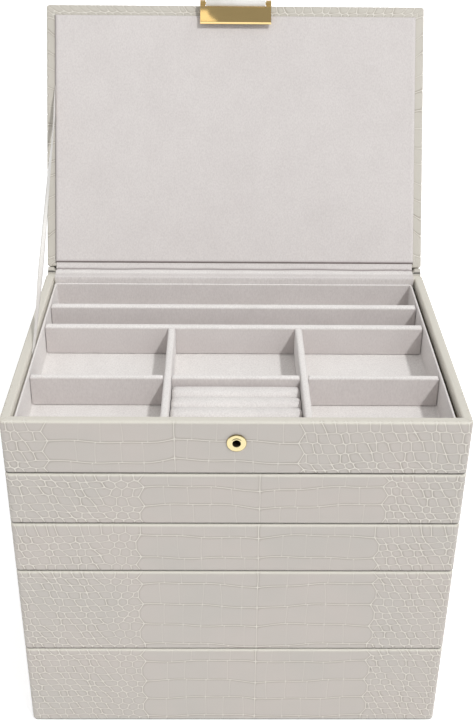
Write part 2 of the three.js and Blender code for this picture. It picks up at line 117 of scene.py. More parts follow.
# Colours and node helpers
def tint(red, green, blue):
    shades = [value / 255 for value in (red, green, blue)]
    return tuple(v / 12.92 if v <= 0.04045 else ((v + 0.055) / 1.055) ** 2.4 for v in shades) + (1,)


def addNode(tree, kind, inputs=None, **settings):
    made = tree.nodes.new("ShaderNode" + kind)
    for key, value in settings.items():
        setattr(made, key, value)
    for key, value in (inputs or {}).items():
        if isinstance(value, bpy.types.NodeSocket):
            tree.links.new(value, made.inputs[key])
        else:
            made.inputs[key].default_value = value
    return made


def startFinish(name, shaderValues, bends=False):
    material = bpy.data.materials.new(name)
    material.use_nodes = True
    tree = material.node_tree
    shader = tree.nodes["Principled BSDF"]
    for key, value in shaderValues.items():
        shader.inputs[key].default_value = value
    place = addNode(tree, "TexCoord").outputs["Object"]
    if bends:  # the grain keeps to the places that the points had at rest
        place = addNode(tree, "Attribute", attribute_name="restPlace").outputs["Vector"]
    return material, tree, shader, place


def mixColours(tree, share, first, second, blend="MIX"):
    made = addNode(tree, "Mix", data_type="RGBA", blend_type=blend)
    for socket, value in zip((made.inputs[0], made.inputs[6], made.inputs[7]), (share, first, second)):
        if isinstance(value, bpy.types.NodeSocket):
            tree.links.new(value, socket)
        else:
            socket.default_value = value
    return made.outputs[2]


def cloud(tree, place, scale, detail=2, stretch=(1, 1, 1), turn=0):
    spread = addNode(tree, "Mapping", {"Vector": place, "Scale": stretch, "Rotation": (0, turn, 0)})
    inputs = {"Vector": spread.outputs[0], "Scale": scale, "Detail": detail}
    return addNode(tree, "TexNoise", inputs).outputs[0]


def bands(tree, place, scale, way):
    return addNode(tree, "TexWave", {"Vector": place, "Scale": scale}, bands_direction=way).outputs["Fac"]


def spanned(tree, value, low, high, newLow=0, newHigh=1):
    inputs = {0: value, 1: low, 2: high, 3: newLow, 4: newHigh}
    return addNode(tree, "MapRange", inputs).outputs[0]


def painted(tree, name):  # a number stored on the mesh
    return addNode(tree, "Attribute", attribute_name=name).outputs["Fac"]


def roughen(tree, shader, height, distance, strength=1):
    bump = addNode(tree, "Bump", {"Height": height, "Distance": distance * mm, "Strength": strength})
    tree.links.new(bump.outputs[0], shader.inputs["Normal"])


leatherLook = {
    "face": tint(194, 189, 183), "warm": tint(198, 191, 185), "rim": tint(224, 220, 209),
    "line": tint(226, 222, 213), "shade": tint(190, 182, 172), "seamShadow": tint(52, 49, 42),
    "pore": tint(168, 160, 150), "poreShare": 0.10, "poreScale": 1500, "poreDepth": 0.05,
    "driftScale": 24, "glossScale": 160, "gloss": (0.42, 0.54),
}


def leatherFinish(name, look, bends=False):
    values = {"Roughness": 0.46, "Specular IOR Level": 0.4, "Sheen Weight": 0.04}
    material, tree, shader, place = startFinish(name, values, bends)
    drift = spanned(tree, cloud(tree, place, look["driftScale"]), 0.35, 0.65)
    tone = mixColours(tree, drift, look["face"], look["warm"])
    foldAndShade, groove = painted(tree, "foldAndShade"), painted(tree, "groove")
    # the cream rim: the rim leather's paler tone, with painted highlight where its rounded edge catches the
    # light
    tone = mixColours(tree, spanned(tree, foldAndShade, 0, 1), tone, look["rim"])
    # painted shade on the shoulders beside the grooves, where the painted groove value falls below 0
    tone = mixColours(tree, spanned(tree, groove, -0.4, 0, 0.5, 0), tone, look["shade"], "MULTIPLY")
    pores = cloud(tree, place, look["poreScale"], 3)
    tone = mixColours(tree, spanned(tree, pores, 0.3, 0.7, 0, look["poreShare"]), tone, look["pore"])
    # the grooves' own paler tone, with painted highlight where their walls catch the light
    tone = mixColours(tree, spanned(tree, groove, 0, 0.6), tone, look["line"])
    # painted shadow at each tray's foot and at the spine's ends, where the painted fold value falls below 0
    tone = mixColours(tree, spanned(tree, foldAndShade, -1, 0, 1, 0), tone, look["seamShadow"])
    tree.links.new(tone, shader.inputs["Base Color"])
    gloss = spanned(tree, cloud(tree, place, look["glossScale"]), 0.3, 0.7, *look["gloss"])
    tree.links.new(gloss, shader.inputs["Roughness"])
    roughen(tree, shader, pores, look["poreDepth"], 0.5)
    return material


velvetLook = {
    "dark": tint(207, 201, 199), "light": tint(245, 242, 239),
    "fleck": tint(180, 172, 171), "crease": tint(128, 120, 118),
    "brushScale": 55, "brushStretch": (1, 0.4, 1), "brushShare": 0.10,
    "napScale": 1300, "napStretch": (1, 1, 0.45), "napTurn": 0.8, "napDepth": 0.06, "napShare": 0.30,
}


def velvetFinish(name, look, bends=False):
    values = {"Roughness": 0.95, "Specular IOR Level": 0.1, "Sheen Weight": 0.55, "Sheen Roughness": 0.3}
    material, tree, shader, place = startFinish(name, values, bends)
    # painted light and shade: the velvet goes from its dark to its light tone as the painted nap value rises
    tone = mixColours(tree, painted(tree, "napAndLight"), look["dark"], look["light"])
    brushed = cloud(tree, place, look["brushScale"], 2, look["brushStretch"])
    tone = mixColours(tree, spanned(tree, brushed, 0.35, 0.7, 0, look["brushShare"]), tone, look["fleck"])
    fibre = cloud(tree, place, look["napScale"], 3, look["napStretch"], look["napTurn"])
    tone = mixColours(tree, spanned(tree, fibre, 0.35, 0.7, 0, look["napShare"]), tone, look["fleck"])
    # painted shade: the crease tone where the painted nap value falls below 0, in the gusset's fold and
    # along the pad's shaded edges
    tone = mixColours(tree, spanned(tree, painted(tree, "napAndLight"), -0.9, -0.1, 1, 0), tone, look["crease"])
    tree.links.new(tone, shader.inputs["Base Color"])
    roughen(tree, shader, fibre, look["napDepth"], 0.6)
    return material


# The socket's bore, as shares of its own radius and millimetres down it, and its outer edge, for the painted
# shade down the bore and the painted dark reflection at the edge
boreLook = {"wall": (1.03, 1.15), "down": (0.2, 0.8), "edge": (0.93, 0.98), "edgeShade": 0.8}


def socketShade(tree, place, node):  # how far a place is down the socket's bore, and out at its edge
    low, high = nodeBox(node)
    middle = (low + high) / 2
    spots = [vert.co / mm - middle for vert in frame["nodes"][node].data.vertices]
    reach = [math.hypot(spot.x, spot.z) for spot in spots]
    axis = (middle.x * mm, 0, middle.z * mm)
    flat = addNode(tree, "VectorMath", {0: place, 1: (1, 0, 1)}, operation="MULTIPLY").outputs[0]
    out = addNode(tree, "VectorMath", {0: flat, 1: axis}, operation="DISTANCE").outputs["Value"]
    deep = addNode(tree, "SeparateXYZ", {0: place}).outputs[1]
    wall = [min(reach) * share * mm for share in boreLook["wall"]]
    edge = [max(reach) * share * mm for share in boreLook["edge"]]
    down = spanned(tree, deep, *[(low.y + depth) * mm for depth in boreLook["down"]])
    inBore = spanned(tree, out, *wall, 1, 0)
    boreShade = addNode(tree, "Math", {0: inBore, 1: down}, operation="MULTIPLY").outputs[0]
    return boreShade, spanned(tree, out, *edge, 0, boreLook["edgeShade"])


goldLook = {
    "scratch": tint(120, 92, 52), "edge": tint(128, 104, 58), "boreShade": tint(48, 40, 32),
    "lineScale": 260, "lineShare": 0.05, "smudgeScale": 90,
}


def goldFinish(name, colour, roughness, brush, relief, socket=None):
    material, tree, shader, place = startFinish(name, {"Metallic": 1, "Roughness": roughness})
    look = goldLook
    lines = cloud(tree, place, look["lineScale"], 3, brush)
    tone = mixColours(tree, spanned(tree, lines, 0.3, 0.7, 0, look["lineShare"]), colour, look["scratch"])
    if socket:
        boreShade, edge = socketShade(tree, place, socket)
        # painted dark reflection round the socket's outer edge, then painted shade down its bore
        tone = mixColours(tree, edge, tone, look["edge"])
        tone = mixColours(tree, boreShade, tone, look["boreShade"])
        tree.links.new(spanned(tree, boreShade, 0, 1, 1, 0), shader.inputs["Metallic"])
    tree.links.new(tone, shader.inputs["Base Color"])
    smudge = cloud(tree, place, look["smudgeScale"], 2)
    tree.links.new(spanned(tree, smudge, 0.3, 0.7, roughness, roughness * 1.2), shader.inputs["Roughness"])
    roughen(tree, shader, lines, relief, 0.2)
    return material


ribbonLook = {
    "light": tint(244, 242, 238), "rib": tint(222, 219, 213), "ribScale": 420, "ribDepth": 0.03,
    "thread": tint(214, 211, 205), "threadScale": 900, "share": 0.25,
    "edge": tint(186, 183, 177), "edgeFrom": 0.6, "edgeShare": 0.45,
}


def ribbonFinish(name):
    look = ribbonLook
    values = {"Roughness": 0.42, "Specular IOR Level": 0.5, "Sheen Weight": 0.3, "Sheen Roughness": 0.3}
    material, tree, shader, place = startFinish(name, values, True)
    ribs = bands(tree, place, look["ribScale"], "Z")
    threads = cloud(tree, place, look["threadScale"], 2, (1, 1, 0.15))
    tone = mixColours(tree, spanned(tree, ribs, 0, 1, 0, look["share"]), look["light"], look["rib"])
    tone = mixColours(tree, spanned(tree, threads, 0.3, 0.7, 0, look["share"]), tone, look["thread"])
    edge = spanned(tree, painted(tree, "selvedge"), look["edgeFrom"], 1, 0, look["edgeShare"])
    tone = mixColours(tree, edge, tone, look["edge"])
    tree.links.new(tone, shader.inputs["Base Color"])
    roughen(tree, shader, ribs, look["ribDepth"], 0.5)
    return material


boardLook = {
    "dark": tint(150, 136, 112), "light": tint(182, 170, 146), "pulpScale": 420, "pulpDepth": 0.08,
}


def boardFinish(name):
    material, tree, shader, place = startFinish(name, {"Roughness": 0.88, "Specular IOR Level": 0.2})
    pulp = cloud(tree, place, boardLook["pulpScale"], 4, (1, 1, 2.5))
    tone = mixColours(tree, spanned(tree, pulp, 0.3, 0.7), boardLook["dark"], boardLook["light"])
    tree.links.new(tone, shader.inputs["Base Color"])
    roughen(tree, shader, pulp, boardLook["pulpDepth"], 0.5)
    return material


clothLook = {
    "dark": tint(188, 182, 176), "light": tint(212, 207, 201), "weaveScale": 420, "weaveDepth": 0.06,
}


def clothFinish(name):
    values = {"Roughness": 0.9, "Specular IOR Level": 0.15, "Sheen Weight": 0.15}
    material, tree, shader, place = startFinish(name, values)
    weft, warp = (bands(tree, place, clothLook["weaveScale"], way) for way in "XY")
    weave = addNode(tree, "Math", {0: weft, 1: warp}, operation="MULTIPLY").outputs[0]
    tone = mixColours(tree, weave, clothLook["dark"], clothLook["light"])
    tree.links.new(tone, shader.inputs["Base Color"])
    roughen(tree, shader, weave, clothLook["weaveDepth"], 0.5)
    return material


leather = leatherFinish("embossed leather", leatherLook)
lidLook = {**leatherLook, "face": tint(199, 195, 185), "warm": tint(203, 198, 188)}
lidLeather = leatherFinish("lid leather", lidLook)
strapLeather = leatherFinish("strap leather", {**lidLook, "face": tint(236, 234, 230)}, True)
spineLeather = leatherFinish("spine leather", lidLook, True)
velvet = velvetFinish("velvet", velvetLook)
gussetVelvet = velvetFinish("gusset velvet", velvetLook, True)
plateGold = goldFinish("plate gold", tint(241, 211, 148), 0.06, (0.25, 1, 1), 0.002)
socketGold = goldFinish("socket gold", tint(224, 210, 164), 0.2, (1, 1, 1), 0.01, "snap_socket")
# the finish of the dark disc that paints shade inside the socket's bore
shadeDiscMetal = goldFinish("dark steel", tint(70, 62, 52), 0.5, (1, 1, 1), 0.01)
ribbonSatin = ribbonFinish("satin ribbon")
greyBoard = boardFinish("grey board")
plinthCloth = clothFinish("plinth cloth")
print("finishes ready")


# Making and placing pieces
def meshPiece(name, points, faces, material, smooth=True):
    mesh = bpy.data.meshes.new(name)
    mesh.from_pydata([Vector(point) * mm for point in points], [], faces)
    return placePiece(name, mesh, material, smooth)


def placePiece(name, mesh, material, smooth=True):
    mesh.materials.append(material)
    mesh.polygons.foreach_set("use_smooth", [smooth] * len(mesh.polygons))
    mesh.update()
    piece = bpy.data.objects.new(name, mesh)
    bpy.context.collection.objects.link(piece)
    return piece


def rideAs(piece, body, slot, *nodes):
    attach(piece, body)
    if nodes:
        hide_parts(*nodes)
    return piece


def evenNormals(piece):
    piece.modifiers.new("even normals", "WEIGHTED_NORMAL").keep_sharp = True


def faceOutward(piece, sharpFrom=None):  # edges sharper than sharpFrom, in radians, stay crisp
    bm = bmesh.new()
    bm.from_mesh(piece.data)
    bmesh.ops.recalc_face_normals(bm, faces=bm.faces[:])
    for edge in bm.edges if sharpFrom else ():
        edge.smooth = len(edge.link_faces) < 2 or edge.calc_face_angle() < sharpFrom
    bm.to_mesh(piece.data)
    bm.free()


def paint(piece, name, values):  # stores a number at each point, for the finishes to read
    piece.data.attributes.new(name, "FLOAT", "POINT").data.foreach_set("value", values)


# painted light and shade standing in for the velvet's nap and sheen: lighter where it faces up or sideways,
# darker on upright faces toward the front
def paintNapAndLight(piece, low=0.0):  # velvet shows light where it faces up, darker on upright faces
    paint(piece, "napAndLight", [
        max(low, vert.normal.z ** 0.8 if vert.normal.z > 0 else 0, 0.65 * abs(vert.normal.x))
        for vert in piece.data.vertices])


def tubeFaces(count, steps):  # round a closed tube with that many points to a ring, and its two ends
    faces = []
    for foot in range(0, steps * count, count):
        for n in range(count):
            m = (n + 1) % count
            faces.append([foot + n, foot + m, foot + count + m, foot + count + n])
    return faces + [list(range(count))[::-1], [steps * count + n for n in range(count)]]


def gridFaces(columns, rows):  # between that many points across and up
    spots = [row * columns + n for row in range(rows - 1) for n in range(columns - 1)]
    return [[spot, spot + 1, spot + columns + 1, spot + columns] for spot in spots]


def gridRim(columns, rows):  # the points round a grid's edge, in order
    rim = list(range(columns)) + [row * columns + columns - 1 for row in range(1, rows)]
    rim += [(rows - 1) * columns + n for n in range(columns - 2, -1, -1)]
    return rim + [row * columns for row in range(rows - 2, 0, -1)]


def smoothStep(value):
    value = min(1, max(0, value))
    return value * value * (3 - 2 * value)


# Outline of a box with rounded corners, measured from the middle of its back, left side first
def makePlan(width, depth, centre=(0, 0), corner=board["corner"]):
    bend = math.pi / 2 * corner
    long, short = width - 2 * corner, depth - 2 * corner
    lengths = [long / 2, bend, short, bend, long, bend, short, bend, long / 2]
    starts = [sum(lengths[:n]) for n in range(len(lengths))]
    mitres = [starts[n] + bend / 2 for n in (1, 3, 5, 7)]
    return {"width": width, "depth": depth, "centre": centre, "corner": corner, "starts": starts,
            "lengths": lengths, "length": sum(lengths), "mitres": mitres}


def frontSpot(plan, x):  # distance round the outline of a place on the front
    return plan["starts"][4] + plan["lengths"][4] / 2 + x


def planAt(plan, along, inset):
    radius = max(plan["corner"] - inset, board["leastCorner"])
    reachX = plan["width"] / 2 - inset - radius
    reachY = plan["depth"] / 2 - inset - radius
    part = min(max(bisect.bisect_right(plan["starts"], along) - 1, 0), 8)
    share = (along - plan["starts"][part]) / plan["lengths"][part]

    def onBend(corner, turn):
        angle = math.pi / 2 * (corner + 1 + turn)
        sideX, sideY = (-1, -1, 1, 1)[corner], (1, -1, -1, 1)[corner]
        x = sideX * reachX + radius * math.cos(angle)
        return x, sideY * reachY + radius * math.sin(angle)

    if part % 2:
        x, y = onBend(part // 2, share)
    else:
        start = (0, reachY + radius) if part == 0 else onBend(part // 2 - 1, 1)
        end = (0, reachY + radius) if part == 8 else onBend(part // 2, 0)
        x, y = (a + (b - a) * share for a, b in zip(start, end))
    return x + plan["centre"][0], y + plan["centre"][1]


# A section across the wall, as [inset, z] lines and arcs, measured along its own length
def makeSection(steps):
    parts, start = [], 0
    for step in steps:
        if len(step) == 5:  # an arc: centre, radius, two angles
            size = abs(math.radians(step[4] - step[3])) * step[2]
        else:
            size = math.dist(step[:2], step[2:4])
        parts.append((start, size, step))
        start += size
    return parts


def sectionAt(section, along):
    starts = [part[0] for part in section]
    start, size, step = section[min(max(bisect.bisect_right(starts, along) - 1, 0), len(section) - 1)]
    share = (along - start) / size
    if len(step) == 5:
        inset, z, radius, first, last = step
        angle = math.radians(first + (last - first) * share)
        outward, upward = math.cos(angle), math.sin(angle)
        return inset + radius * outward, z + radius * upward, outward, upward
    fromInset, fromZ, toInset, toZ = step
    across, up = (toInset - fromInset) / size, (toZ - fromZ) / size
    return fromInset + (toInset - fromInset) * share, fromZ + (toZ - fromZ) * share, -up, across


# Embossed scales: rows of wide belly scales, and small ones on the flanks, in millimetres
hide = {
    "smallScale": 6.0, "smallRow": 5.2, "roundZone": 22, "bellyScale": 12.2, "bellyDrift": 1.6,
    "wave": 0.9, "rippleShare": 0.4, "waveLength": 95, "kinkReach": 13, "step": 2.1, "merge": 0.8,
    "stagger": 0.8, "sway": 0.9, "jitter": 0.8, "lean": 0.5, "smallBow": 0.25, "bellyBow": 0.3, "point": 3.2,
    "grooveWidth": 0.36, "grooveDepth": 0.24, "pillow": 0.9, "pillowRise": 0.07, "shade": 0.4,
    "smallRounding": 0.35, "bellyRounding": 0.12, "spike": 0.5, "fullFrom": 1.6, "leastScale": 0.45,
    # how deep each kind of line is, from 0 to 1
    "rowLine": 1.0, "flankRow": 0.6, "flankLine": 0.95, "roundLine": 0.7, "bellyLine": 0.3, "edgeLine": 0.8,
    "middleLine": 0.5, "middleTop": 0.85, "mitreLine": 0.9, "faintUnder": 0.45, "rimShare": 0.45,
}


def layScales(sheet):
    rand = random.Random(sheet["seed"])
    rows, length, rimFrom = sheet["rows"], sheet["length"], sheet["rimFrom"]
    splits = [max(1, round((high - low) / hide["smallRow"])) for low, high in zip(rows, rows[1:])]
    lines = [(row, n / count) for row, count in enumerate(splits) for n in range(count)]
    lines.append((len(rows) - 1, 0))
    firstLine = [lines.index((row, 0)) for row in range(len(rows))]
    phases = [rand.uniform(0, 2 * math.pi) for row in rows]
    turns = max(1, round(length / hide["waveLength"]))
    spots, depths, onLine, known, between = [], [], [[] for line in lines], {}, {}

    def rowAt(row, s):
        if row in sheet["straight"]:
            return rows[row]
        wave = math.sin(2 * math.pi * turns * s / length + phases[row])
        ripple = hide["rippleShare"] * math.sin(6 * math.pi * turns * s / length + 2 * phases[row])
        kink = sum(math.exp(-abs(s - belly[2]) / hide["kinkReach"]) for belly in sheet["bellies"])
        return rows[row] + hide["wave"] * (wave + ripple) + sheet["kink"] * kink

    def lineAt(line, s):
        row, share = lines[line]
        low = rowAt(row, s)
        return low + (rowAt(row + 1, s) - low) * share if share else low

    def addSpot(s, t, deep):
        spots.append((s, t))
        depths.append(deep)
        return len(spots) - 1

    def joint(line, key, s, lift, deep):  # where a cross line meets a row line
        straight = lines[line][1] == 0 and lines[line][0] in sheet["straight"]
        if (line, key) not in known:
            near = next((spot for other, spot in onLine[line] if abs(other - s) < hide["merge"]), None)
            if near is None:
                near = addSpot(s, lineAt(line, s) + (0 if straight else lift), 0)
                onLine[line].append((s, near))
            known[line, key] = near
        spot = known[line, key]
        depths[spot] = max(depths[spot], deep if 0 < line < len(lines) - 1 else 0)
        return spot

    def post(low, high, deep, bow=0.0, faint=False):  # the spots of a cross line, from its foot to its head
        if (low, high) not in between:
            (s0, t0), (s1, t1) = spots[low], spots[high]
            span = math.dist((s0, t0), (s1, t1))
            count = int(span / hide["step"])
            near = min(hide["spike"] / span, 0.3)
            shares = [n / (count + 1) for n in range(1, count + 1)]
            if faint:  # the line still starts deep where it leaves its row line
                shares = [near] + shares + [1 - near]
            inner = []
            for share in shares:
                s = s0 + (s1 - s0) * share + bow * math.sin(math.pi * share)
                inner.append(addSpot(s, t0 + (t1 - t0) * share, deep))
            between[low, high] = [low, *inner, high]
        return between[low, high]

    # Where the flanks and the bellies start and end
    edges = [0] + [place for belly in sheet["bellies"] for place in belly[:2]] + [length]

    def deepAt(row, deep):
        return deep * (hide["rimShare"] if row >= rimFrom else 1)

    def edgeDeep(edge, row):  # the sheet's own two ends have no groove
        return deepAt(row, hide["edgeLine"]) if 0 < edge < len(edges) - 1 else 0

    def edgeJoint(edge, line):
        s = edges[edge]
        row, share = lines[line]
        if 0 < edge < len(edges) - 1:
            outward = -1 if edge % 2 else 1
            s += outward * hide["point"] * math.sin(math.pi * share)
        return joint(line, ("edge", edge), s, 0, edgeDeep(edge, row))

    def edgePost(edge, low, high):
        spotsUp = [edgeJoint(edge, low)]
        for line in range(low, high):
            deep = edgeDeep(edge, lines[line][0])
            spotsUp += post(edgeJoint(edge, line), edgeJoint(edge, line + 1), deep)[1:]
        return spotsUp

    def flankPosts(edge, line):
        start, end = edges[edge], edges[edge + 1]
        count = max(2, round((end - start) / hide["smallScale"]))
        turnAt = count - round(sheet["roundZone"] / hide["smallScale"])
        row = lines[line][0]

        def flankJoint(onto, q, side, lift, deep):
            sway = hide["sway"] * math.sin(2.3 * q + edge) * math.sin(math.pi * q / count)
            s = start + (end - start) * q / count + sway
            if row < rimFrom:
                s += rand.uniform(-hide["jitter"], hide["jitter"]) + side * hide["stagger"]
            for mitre in sheet["mitres"]:
                if row >= rimFrom and abs(s - mitre) < hide["smallScale"] / 2:
                    return joint(onto, ("mitre", mitre), mitre, 0, hide["mitreLine"])
            return joint(onto, ("flank", edge, q, row >= rimFrom or side), s, lift, deepAt(row, deep))

        posts = [edgePost(edge, line, line + 1)]
        for n in range(1, count):
            foot, head, deep, lift, side = n, n, hide["roundLine"], rand.uniform(0.3, 1.1), 0
            if row < rimFrom and n <= turnAt:
                foot, head = (n, n - 0.5) if line % 2 == 0 else (n + 0.5, n)
                deep, lift, side = hide["flankLine"] * rand.uniform(0.6, 1.1), rand.uniform(0.1, 0.7), 1
            elif row < rimFrom and line % 2:
                foot = head = n + 0.5
            if max(foot, head) > count - 0.8:
                continue
            low = flankJoint(line, foot, -side, lift, deep)
            high = flankJoint(line + 1, head, side, -lift, deep)
            isMitre = any(abs(spots[low][0] - mitre) < 0.01 for mitre in sheet["mitres"])
            deep = hide["mitreLine"] if isMitre else deepAt(row, deep)
            posts.append(post(low, high, deep, rand.uniform(-hide["smallBow"], hide["smallBow"])))
        return posts + [edgePost(edge + 1, line, line + 1)]

    def bellyPosts(edge, row):
        start, end = edges[edge], edges[edge + 1]
        middle = sheet["bellies"][edge // 2][2]
        count = max(1, round((end - start) / sheet["bellyScale"]))
        shift = rand.uniform(-0.3, 0.3)
        posts = [edgePost(edge, firstLine[row], firstLine[row + 1])]
        for n in range(1, count):
            s = start + (end - start) * (n + shift) / count + rand.uniform(-1, 1) * hide["bellyDrift"]
            lean = rand.uniform(-hide["lean"], hide["lean"])
            deep = sheet["bellyLine"] * rand.uniform(0.6, 1.3)
            if abs(s - middle) < 0.5 * hide["bellyScale"]:  # the line down the middle of the belly
                s, lean, deep = middle, 0, hide["middleTop" if row == rimFrom - 1 else "middleLine"]
            for mitre in sheet["mitres"]:
                if row >= rimFrom and abs(s - mitre) < 0.5 * hide["bellyScale"]:
                    s, lean, deep = mitre, 0, hide["mitreLine"] / hide["rimShare"]
            deep = deepAt(row, deep)
            low = joint(firstLine[row], ("belly", edge, row, n), s - lean, 0, deep)
            high = joint(firstLine[row + 1], ("belly", edge, row, n), s + lean, 0, deep)
            bow = rand.uniform(-hide["bellyBow"], hide["bellyBow"])
            posts.append(post(low, high, deep, bow, deep < hide["faintUnder"]))
        return posts + [edgePost(edge + 1, firstLine[row], firstLine[row + 1])]

    ranks = []  # (lower line, upper line, posts)
    for edge in range(len(edges) - 1):
        if edge % 2:
            for row in range(len(rows) - 1):
                ranks.append((firstLine[row], firstLine[row + 1], bellyPosts(edge, row)))
        else:
            for line in range(len(lines) - 1):
                ranks.append((line, line + 1, flankPosts(edge, line)))

    chains = []
    for line, met in enumerate(onLine):
        row, share = lines[line]
        chain = []
        met = sorted(met)
        for n, (s, spot) in enumerate(met):
            chain.append(spot)
            if n + 1 == len(met):
                break
            nextS, nextSpot = met[n + 1]
            middle = (s + nextS) / 2
            onBelly = bisect.bisect_right(edges, middle) % 2 == 0
            if share and onBelly:
                continue
            deep = hide["rowLine"] if onBelly else hide["flankRow"]
            deep = 0 if row in sheet["straight"] and not share else deepAt(row, deep)
            count = int((nextS - s) / hide["step"])
            lift0, lift1 = spots[spot][1] - lineAt(line, s), spots[nextSpot][1] - lineAt(line, nextS)
            for k in range(1, count + 1):
                at = k / (count + 1)
                here = s + (nextS - s) * at
                chain.append(addSpot(here, lineAt(line, here) + lift0 + (lift1 - lift0) * at, deep))
            depths[spot] = max(depths[spot], deep)
            depths[nextSpot] = max(depths[nextSpot], deep)
        chains.append((chain, {spot: n for n, spot in enumerate(chain)}))

    cells = []
    for low, high, posts in ranks:
        (feet, footAt), (heads, headAt) = chains[low], chains[high]
        for left, right in zip(posts, posts[1:]):
            below = feet[footAt[left[0]]:footAt[right[0]] + 1]
            above = heads[headAt[left[-1]]:headAt[right[-1]] + 1]
            loop = below + right[1:] + above[::-1][1:] + left[::-1][1:-1]
            loop = [spot for n, spot in enumerate(loop) if spot != loop[n - 1]]
            if len(set(loop)) == len(loop) and len(loop) > 2 and below and above:
                cells.append(loop)
    return spots, depths, cells


def shrinkLoop(loop, gaps):
    out = []
    for n, (x, y) in enumerate(loop):
        (ax, ay), (bx, by) = loop[n - 1], loop[(n + 1) % len(loop)]
        before = math.hypot(x - ax, y - ay) or 1
        after = math.hypot(bx - x, by - y) or 1
        nx = -(y - ay) / before - (by - y) / after
        ny = (x - ax) / before + (bx - x) / after
        size = math.hypot(nx, ny) or 1
        reach = gaps[n] * min(1.7, 2 / size)
        out.append((x + nx / size * reach, y + ny / size * reach))
    return out


def relaxLoop(loop, share):
    return [tuple(loop[n][k] * (1 - share) + (loop[n - 1][k] + loop[(n + 1) % len(loop)][k]) * share / 2
                  for k in (0, 1)) for n in range(len(loop))]


def crossed(outer, inner):  # whether a drawn-in loop has folded over itself
    for n in range(len(outer)):
        (ax, ay), (bx, by), (cx, cy), (dx, dy) = outer[n - 1], outer[n], inner[n], inner[n - 1]
        if (cx - ax) * (dy - by) - (cy - ay) * (dx - bx) <= 0:
            return True
    return False


def grooveFall(deep):  # a faint line is shallower than its share
    return -hide["grooveDepth"] * (0.1 + 0.9 * deep ** 1.6) if deep else 0


# Raises every scale from the grooves round it, on the flat: x along the sheet, y up it, z off it
def embossSheet(sheet):
    spots, depths, cells = layScales(sheet)
    points = [(s, t, grooveFall(deep)) for (s, t), deep in zip(spots, depths)]
    grooves, faces = list(depths), []
    for cell in cells:
        loop = [spots[spot] for spot in cell]
        area = sum(a[0] * b[1] - b[0] * a[1] for a, b in zip(loop, loop[1:] + loop[:1])) / 2
        inner = 2 * area / sum(math.dist(a, b) for a, b in zip(loop, loop[1:] + loop[:1]))
        rounding = hide["smallRounding"] if inner < hide["smallScale"] / 2 else hide["bellyRounding"]
        fullRoom = min(1, inner / hide["fullFrom"])
        for room in (fullRoom, fullRoom * 0.4):
            width = [hide["grooveWidth"] * (0.3 + 0.7 * depths[spot]) * room for spot in cell]
            shoulder = relaxLoop(shrinkLoop(loop, width), rounding)
            top = relaxLoop(relaxLoop(shrinkLoop(shoulder, [hide["pillow"] * room] * len(cell)), 0.5), 0.5)
            fits = inner > hide["leastScale"] and not crossed(loop, shoulder) and not crossed(shoulder, top)
            if fits:
                break
        if not fits:
            faces.append(cell)
            continue
        start = len(points)
        sunk = [hide["pillowRise"] * (0.1 + 0.9 * depths[spot]) for spot in cell]
        points += [(s, t, -fall) for (s, t), fall in zip(shoulder, sunk)] + [(s, t, 0) for s, t in top]
        # the shoulders carry painted shade, deeper beside deeper lines
        grooves += [-hide["shade"] * depths[spot] ** 2 for spot in cell] + [0] * len(cell)
        size = len(cell)
        for n in range(size):
            m = (n + 1) % size
            faces.append([cell[n], cell[m], start + m, start + n])
            faces.append([start + n, start + m, start + size + m, start + size + n])
        faces.append([start + size + n for n in range(size)])
    return points, grooves, faces


def sheetMesh(sheet, cutsAlong, cutsUp, hole=None):
    points, grooves, faces = embossSheet(sheet)
    bm = bmesh.new()
    groove = bm.verts.layers.float.new("groove")
    along = bm.verts.layers.float.new("along")
    bm.verts.layers.float.new("foldAndShade")
    verts = [bm.verts.new(point) for point in points]
    for vert, value in zip(verts, grooves):
        vert[groove] = value
        vert[along] = vert.co.x
    for face in faces:
        bm.faces.new([verts[n] for n in face])
    cuts = [((place, 0, 0), (1, 0, 0)) for place in cutsAlong]
    cuts += [((0, place, 0), (0, 1, 0)) for place in cutsUp]
    for place, normal in cuts:
        everything = bm.verts[:] + bm.edges[:] + bm.faces[:]
        bmesh.ops.bisect_plane(bm, geom=everything, dist=0.001, plane_co=place, plane_no=normal)
    if hole:
        s, t, reach = hole
        inside = [face for face in bm.faces if all(
            abs(vert.co.x - s) < reach + 0.01 and abs(vert.co.y - t) < reach + 0.01 for vert in face.verts)]
        bmesh.ops.delete(bm, geom=inside, context="FACES")
    for vert in bm.verts:
        vert[along] = vert.co.x
    loose = [vert for vert in bm.verts if not vert.link_faces]
    bmesh.ops.delete(bm, geom=loose, context="VERTS")
    return bm


# Carries an open edge of the skin on to further [inset, z] places, to give it its thickness
def carryLoop(bm, edges, plan, places):
    along = bm.verts.layers.float["along"]
    for inset, z in places:
        made = bmesh.ops.extrude_edge_only(bm, edges=edges)["geom"]
        for vert in [item for item in made if isinstance(item, bmesh.types.BMVert)]:
            x, y = planAt(plan, min(max(vert[along], 0), plan["length"]), inset)
            vert.co = (x, y, z)
        edges = [item for item in made if isinstance(item, bmesh.types.BMEdge)]
    return edges


def openEdges(bm, z, inset, plan, reachUp=0.3, reachIn=1.2):
    found = []
    for edge in bm.edges:
        if len(edge.link_faces) == 1 and all(abs(vert.co.z - z) < reachUp for vert in edge.verts):
            middle = (edge.verts[0].co + edge.verts[1].co) / 2
            across, back = middle.x - plan["centre"][0], middle.y - plan["centre"][1]
            gap = min(plan["width"] / 2 - abs(across), plan["depth"] / 2 - abs(back))
            if abs(gap - inset) < reachIn:
                found.append(edge)
    return found


# painted shadow in the seam at each tray's foot: how dark it is, and where up the sheet it starts to fade
seamShade = {"depth": 1.0, "from": 1.6, "reach": 0.4}
